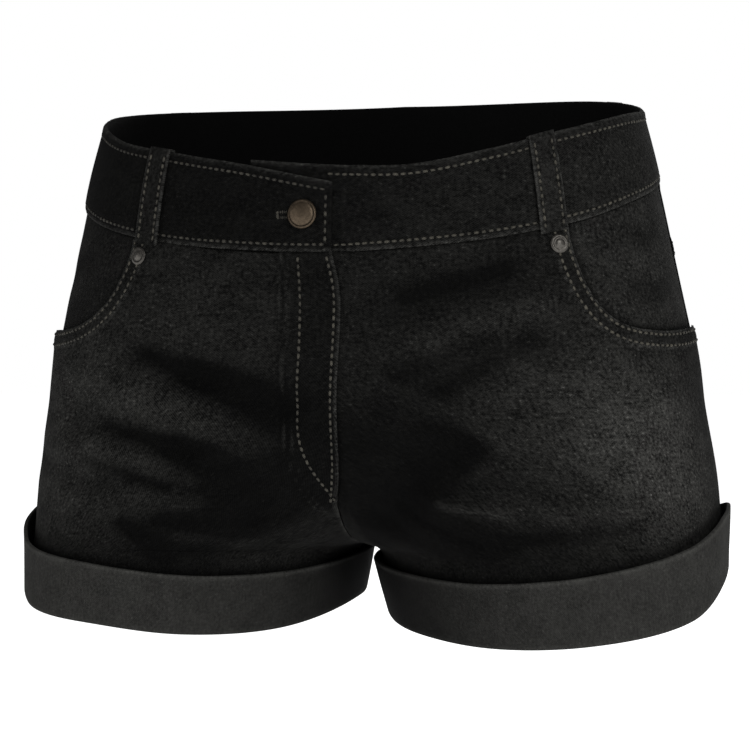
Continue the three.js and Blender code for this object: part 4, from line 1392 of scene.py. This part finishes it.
# %% [markdown]
# ## Stitches
# Top-stitching is thick thread that sinks at every hole, so each stitch is a short soft capsule.
# One capsule is worked out once; a row copies it along a line at an even pitch, turned a little at
# random, and all the rows of a part of the garment become one mesh.

# %% Stitch maker
PITCH = 3.7
STITCH = table(
    "along width",
    (-0.5, 0.0),
    (-0.36, 0.8),
    (-0.12, 1.0),
    (0.12, 1.0),
    (0.36, 0.8),
    (0.5, 0.0),
)
SIDES = 6


def stitch_template():
    """Unit points of one stitch (along, across, up) and its faces: four rings and two tips."""
    turn = 2 * np.pi * np.arange(SIDES) / SIDES
    rings = STITCH["along"][1:-1]
    along = np.repeat(rings, SIDES)
    width = np.repeat(STITCH["width"][1:-1], SIDES)
    across = np.tile(np.cos(turn), len(rings)) * width
    up = np.tile(np.sin(turn), len(rings)) * width
    body = np.stack([along, across, up], -1)
    points = np.concatenate([body, [[-0.5, 0, -0.6], [0.5, 0, -0.6]]])
    _, ring = closed_ring(len(rings), SIDES)
    k = np.arange(SIDES)
    tip = len(body)
    first = np.stack([ring[0, k + 1], ring[0, k], np.full(SIDES, tip), np.full(SIDES, tip)], -1)
    end = np.stack([ring[-1, k], ring[-1, k + 1], np.full(SIDES, tip + 1), np.full(SIDES, tip + 1)], -1)
    return points, np.concatenate([quads(ring), first, end])


def stitch_row(points, normals, length=3.45, width=0.7, pitch=PITCH):
    """Middle, three directions and size of each stitch along a line of points."""
    distance = running(np.linalg.norm(np.diff(points, axis=0), axis=1))
    count = max(int(distance[-1] / pitch), 1)
    spots = (np.arange(count) + 0.5) * distance[-1] / count

    def at(values, shift=0):
        """Values at the middles of the stitches, or a little further along."""
        return np.stack([np.interp(spots + shift, distance, values[:, k]) for k in range(3)], -1)

    up = unit(at(normals))
    along = at(points, 1) - at(points, -1)
    along = unit(along - up * np.sum(along * up, axis=1, keepdims=True))
    across = np.cross(up, along)
    turn = rng.normal(0, 0.07, count)[:, None]
    along, across = along * np.cos(turn) + across * np.sin(turn), across * np.cos(turn) - along * np.sin(turn)
    size = np.stack([length * rng.normal(1, 0.06, count), width * rng.normal(1, 0.08, count)], -1)
    return at(points), along, across, up, size


def add_stitches(name, lines, tone_and_shade):
    """One mesh of all the stitches of some rows; each line has points, normals and its own tone, which on
    some rows holds painted light.
    """
    template, pattern = stitch_template()
    rows = [stitch_row(points, normals, **look) for points, normals, _, look in lines]
    shades = [np.full(len(row[0]), tone_and_shade + line[2]) for row, line in zip(rows, lines)]
    middle, along, across, up, size = (np.concatenate(parts) for parts in zip(*rows))
    shade = np.concatenate(shades) + rng.normal(0, 0.07, len(middle))
    long, wide = size[:, :1, None], size[:, 1:, None]
    points = middle[:, None] + along[:, None] * (template[None, :, :1] * long)
    points += across[:, None] * (template[None, :, 1:2] * wide)
    points += up[:, None] * (template[None, :, 2:] * wide * 0.62 + 0.12)
    count = len(template)
    faces = (pattern[None] + count * np.arange(len(middle))[:, None, None]).reshape(-1, 4)
    first = np.arange(len(middle))[:, None] * PITCH
    uv = flat_map(first + template[None, :, 0] * 4, template[None, :, 1])
    # Painted shade: each stitch is darker at its ends, where it sinks into its hole.
    tones_and_shade = np.repeat(shade, count) - 0.25 * np.tile(np.abs(template[:, 0]) > 0.3, len(middle))
    add_piece(name, points.reshape(-1, 3), faces, (thread,), (), uv, {"tone_and_shade": tones_and_shade})


def cloth_line(side, t, z, out, tone_and_shade=0.0, **look):
    """A line of stitches on folded cloth."""
    return on_cloth(side, t, z, out), cloth_normal(side, t, z), tone_and_shade, look


def bare_line(side, t, z, out, tone_and_shade=0.0):
    """A line of stitches on cloth without folds."""
    return off_body(side, t, z, out), bare_normal(side, t, z), tone_and_shade, {}


# %% Rows of stitches
def offset_mouth(side, distance):
    """A line beside the mouth, a distance into the front panel: the mouth's line moved square to it."""
    t, z = mouths[side]
    run = np.linalg.norm(bare_point(side, t + 0.5, z) - bare_point(side, t - 0.5, z), axis=-1)
    along_t, along_z = np.gradient(t) * run, np.gradient(z)
    length = np.hypot(along_t, along_z)
    t = t + distance * along_z / length / run
    z = z - distance * along_t / length
    keep = (t < SIDE_SEAM - 0.4) & (z < band_seam(t) - 1)
    return t[keep], z[keep]


J_STITCHES = table(
    "z x",
    (-211, -0.6),
    (-206, -3.2),
    (-197, -8.6),
    (-187, -12.9),
    (-173, -15.3),
    (-156, -14.6),
    (-133, -12.6),
    (-110, -12),
    (-87, -13.8),
)
front_lines = []
for side in (-1, 1):
    for distance in MOUTH_ROWS:
        t, z = offset_mouth(side, distance)
        # Painted light: the right mouth's stitches are a little lighter than the left's.
        front_lines.append(cloth_line(side, t, z, front_out(side, t, z), 0.05 * side))
z = np.linspace(-88, -212, 160)
t = angle_at(z, 3.2 - fly_edge(z))
front_lines.append(cloth_line(-1, t, z, front_out(-1, t, z), -0.05))
z = np.linspace(-88, -211, 160)
t = angle_at(z, -through(J_STITCHES, "z", "x")(z))
front_lines.append(cloth_line(-1, t, z, front_out(-1, t, z), -0.1))
add_stitches("stitches_front", front_lines, 0.42)

back_lines = []
for side in (-1, 1):
    t = np.linspace(SIDE_SEAM + 0.5, 179.5, 200)
    for distance in SEAM_ROWS:
        z = yoke_seam(t) - distance
        back_lines.append(cloth_line(side, t, z, back_out(side, t, z)))
for distance in SEAM_ROWS:
    z = np.linspace(-30, -97, 60)
    t = 180 - angle_at(z, distance)
    back_lines.append(cloth_line(1, t, z, yoke_out(1, t, z)))
    z = np.linspace(-100, -205, 100)
    t = 180 - angle_at(z, distance)
    back_lines.append(cloth_line(1, t, z, back_out(1, t, z)))
add_stitches("stitches_back", back_lines, 0.4)

pocket_lines = []
for side in (-1, 1):
    for distance in POCKET_ROWS:
        foot = 1 - distance / POCKET_LENGTH
        down = np.linspace(0, foot, 90)
        edge = 1 - distance / POCKET_HALF
        along = np.linspace(-edge, edge, 120)
        spots = (
            (np.full(90, -edge), down),
            (along, np.full(120, foot)),
            (np.full(90, edge), down[::-1]),
        )
        for across, fall in spots:
            t, z = pocket_spot(across, fall)
            pocket_lines.append(cloth_line(side, t, z, np.full(len(t), DENIM + 0.95)))
    for distance in POCKET_TOP_ROWS:
        across = np.linspace(-0.97, 0.97, 120)
        t, z = pocket_spot(across, np.full(120, distance / POCKET_LENGTH))
        pocket_lines.append(cloth_line(side, t, z, np.full(len(t), DENIM + 1.0)))
add_stitches("stitches_patch_pockets", pocket_lines, 0.4)

# %% Stitches on the band and its loops
def band_line(side, t, tone_and_shade, from_top=None, from_foot=None):
    """A row along the band, a distance below its rim or above its foot."""
    low, high = band_seam(t) - LAP, rim[side](t)
    z = high - from_top if from_top is not None else low + from_foot
    above, below = z - low, high - z
    out = BAND_OUT + lap_lift(side, t) + band_face(above / (high - low)) + band_relief(above, below, t * ARC)
    return bare_line(side, t, z, out, tone_and_shade)


band_lines = []
left_end = float(angle_at(BUTTON_LEVEL, END_ROW - LAP_END))
for side, start in ((-1, left_end), (1, 0.0)):
    t = np.linspace(start, 179.6, 500)
    # Painted light: the band's stitches are lighter on the right side than on the left.
    band_lines.append(band_line(side, t, from_top=TOP_ROW, tone_and_shade=-0.05 + 0.08 * side))
    band_lines.append(band_line(side, t, from_foot=FOOT_ROW, tone_and_shade=-0.05 + 0.08 * side))
z = np.linspace(-57, -82, 40)
t = angle_at(z, END_ROW - LAP_END)
band_lines.append(bare_line(-1, t, z, BAND_OUT + LAP_SHIFT + band_face((z + 86) / 36), -0.05))
for _, side, t, hooked in loops:
    angles, _ = loop_angles(side, t, 8)
    turn = (angles[-1] - angles[0]) / LOOP_WIDTH
    for one in (-1, 1):
        angle = t + one * (LOOP_WIDTH / 2 - LOOP_ROW) * turn
        fold = 360 - angle if angle > 180 else angle
        low, high = band_seam(fold) - LOOP_TAIL, rim[side](fold)
        z = np.linspace(low + 1.5, high - (3 if hooked else 2), 40)
        arch = np.interp((z - low) / (high - low), [0, 0.25, 0.6, 1], [0, 0.6, 0.7, 0.1])
        out = arch + LOOP_SEAT + LOOP_WALL - 0.2
        band_lines.append(bare_line(side, np.full(40, angle), z, out))
add_stitches("stitches_band", band_lines, 0.38)

# %% [markdown]
# ## Buttonhole, button, rivets and zip
# The buttonhole is a slit bound with close stitches that cross its edge. The button and the rivets
# are turned metal: a profile of radius and height, smoothed and spun. The zip's teeth sit on its
# tape, hidden by the flap.

# %% Buttonhole
BUTTON_X = -11
BUTTON_Z = -67.3


def lap_spot(x, z, out):
    """A point on the buttoned end of the band, at a distance from the centre plane."""
    t = angle_at(z, -x)
    share = (z - band_seam(t)) / (rim[-1](t) - band_seam(t))
    return off_body(-1, t, z, BAND_OUT + LAP_SHIFT + band_face(share) + out)


turn = np.linspace(0, 2 * np.pi, 64)
slot_x = BUTTON_X - 5.5 + 7.5 * np.clip(np.cos(turn) * 1.5, -1, 1)
slot_z = BUTTON_Z + 1.4 * np.clip(np.sin(turn) * 1.6, -1, 1)
ring = lap_spot(slot_x, slot_z, np.full(64, 0.1))
facing = np.broadcast_to(bare_normal(-1, angle_at(BUTTON_Z, -BUTTON_X), np.array(BUTTON_Z)), ring.shape)
binding = []
for k in range(0, 63):
    middle = (ring[k] + ring[k + 1]) / 2
    along = ring[k + 1] - ring[k]
    across = np.cross(facing[k], along / max(np.linalg.norm(along), 1e-6))
    ends = np.array([middle - across * 1.1, middle + across * 1.1])
    binding.append((ends, facing[:2], 0.0, {"length": 2.1, "width": 0.3, "pitch": 2.2}))
add_stitches("buttonhole", binding, 0.3)

# %% Button and rivets
def add_turned(name, profile, sides, base, normal, material, node, between=7):
    """A turned piece: the profile's corners rounded, spun round the direction it stands in."""
    radius, height = profile["radius"], profile["height"]
    fine = np.linspace(0, len(radius) - 1, (len(radius) - 1) * between + 1)
    whole = np.floor(np.clip(fine, 0, len(radius) - 1.001)).astype(int)
    s = fine - whole
    s = s + 0.28 * np.sin(2 * np.pi * s) / (2 * np.pi)
    r, h = mix(radius[whole], radius[whole + 1], s), mix(height[whole], height[whole + 1], s)
    kernel = np.array([0.25, 0.5, 0.25])
    soft_r = np.convolve(np.pad(r, 1, mode="edge"), kernel, "valid")
    soft_h = np.convolve(np.pad(h, 1, mode="edge"), kernel, "valid")
    r[1:-1], h[1:-1] = soft_r[1:-1], soft_h[1:-1]
    up = unit(normal)
    first = unit(np.cross(up, [0, 0, 1.0]))
    second = np.cross(up, first)
    turn = 2 * np.pi * np.arange(sides) / sides
    spokes = first * np.cos(turn)[:, None] + second * np.sin(turn)[:, None]
    rings = base + spokes[:, None] * r[None, 1:-1, None] + up * h[None, 1:-1, None]
    count = rings.shape[1]
    points = np.concatenate([rings.reshape(-1, 3), [base + up * h[0], base + up * h[-1]]])
    index = np.arange(sides * count).reshape(sides, count)
    ring = np.concatenate([index, index[:1]], axis=0)
    k = np.arange(sides)
    foot, top = np.full(sides, sides * count), np.full(sides, sides * count + 1)
    start = np.stack([ring[k + 1, 0], ring[k, 0], foot, foot], -1)
    end = np.stack([ring[k, -1], ring[k + 1, -1], top, top], -1)
    slope = np.gradient(h[1:-1])
    rub = 0.35 + 0.45 * ease(h[1:-1] - h[1:-1].max(), -1.6, 0) + 0.2 * np.sign(slope)
    rub = np.concatenate([np.tile(rub, sides), [0.2, 0.7]])
    faces = np.concatenate([quads(ring), start, end])
    add_piece(name, points, faces, (material,), [node], None, {"rub": rub})


BUTTON_PROFILE = table(
    "radius height",
    (0, -2.2),
    (2.2, -2.2),
    (2.2, 0.6),
    (6.3, 0.6),
    (7.5, 1.3),
    (7.5, 2.1),
    (6.8, 2.8),
    (6.0, 2.6),
    (4.9, 3.0),
    (2.2, 3.5),
    (0, 3.6),
)
RIVET_PROFILE = table(
    "radius height",
    (0, 0),
    (4.8, 0),
    (4.8, 0.5),
    (3.8, 1.0),
    (2.7, 0.8),
    (1.6, 1.4),
    (0, 1.8),
)
RIVETS = {-1: (36, -85.2), 1: (40.5, -82.3)}
button_spot = -1, angle_at(BUTTON_Z, -BUTTON_X), np.array(float(BUTTON_Z))
base = off_body(*button_spot, BAND_OUT + LAP_SHIFT + BAND_BELLY)
add_turned("button", BUTTON_PROFILE, 96, base, bare_normal(*button_spot), copper, "waist_button")
for side, word in WORDS.items():
    t, z = (np.array(float(v)) for v in RIVETS[side])
    base, up = on_cloth(side, t, z, MOUTH_LIFT + 0.45), bare_normal(side, t, z)
    add_turned(f"rivet_cap_{word}", RIVET_PROFILE, 64, base, up, nickel, f"rivet_{word}")

# %% Zip teeth
TOOTH = (2.4, 0.9, 0.8)


def add_teeth():
    """Two rows of small blocks on the tape that mesh: the second row sits half a pitch lower."""
    heights = np.arange(FLY_TOP - 3, -188, -1.6)
    spots_x = np.concatenate([np.full(len(heights), -5.0), np.full(len(heights), -3.0)])
    spots_z = np.concatenate([heights, heights - 0.8])
    t = angle_at(spots_z, -spots_x)
    base = on_cloth(-1, t, spots_z, FLY_STRIPS["out"][1] + TOOTH[2] / 2 + 0.05)
    up = bare_normal(-1, t, spots_z)
    vertical = np.broadcast_to([0, 0, 1.0], up.shape)
    wide = unit(np.cross(up, vertical))
    corner = np.array([[x, y, z] for x in (-1, 1) for y in (-1, 1) for z in (-1, 1)]) / 2
    axes = np.stack([wide * TOOTH[0], np.cross(wide, up) * TOOTH[1], up * TOOTH[2]], 1)
    points = base[:, None] + corner[None] @ axes
    block = np.array([[0, 1, 3, 2], [4, 6, 7, 5], [0, 4, 5, 1], [2, 3, 7, 6], [0, 2, 6, 4], [1, 5, 7, 3]])
    faces = (block[None] + 8 * np.arange(len(base))[:, None, None]).reshape(-1, 4)
    rub = np.full(len(corner) * len(base), 0.3)
    add_piece("zip_teeth", points.reshape(-1, 3), faces, (nickel,), (), None, {"rub": rub})


add_teeth()
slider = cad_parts["zip_slider"]
slider.data.materials.clear()
slider.data.materials.append(nickel)
print("metal parts placed")
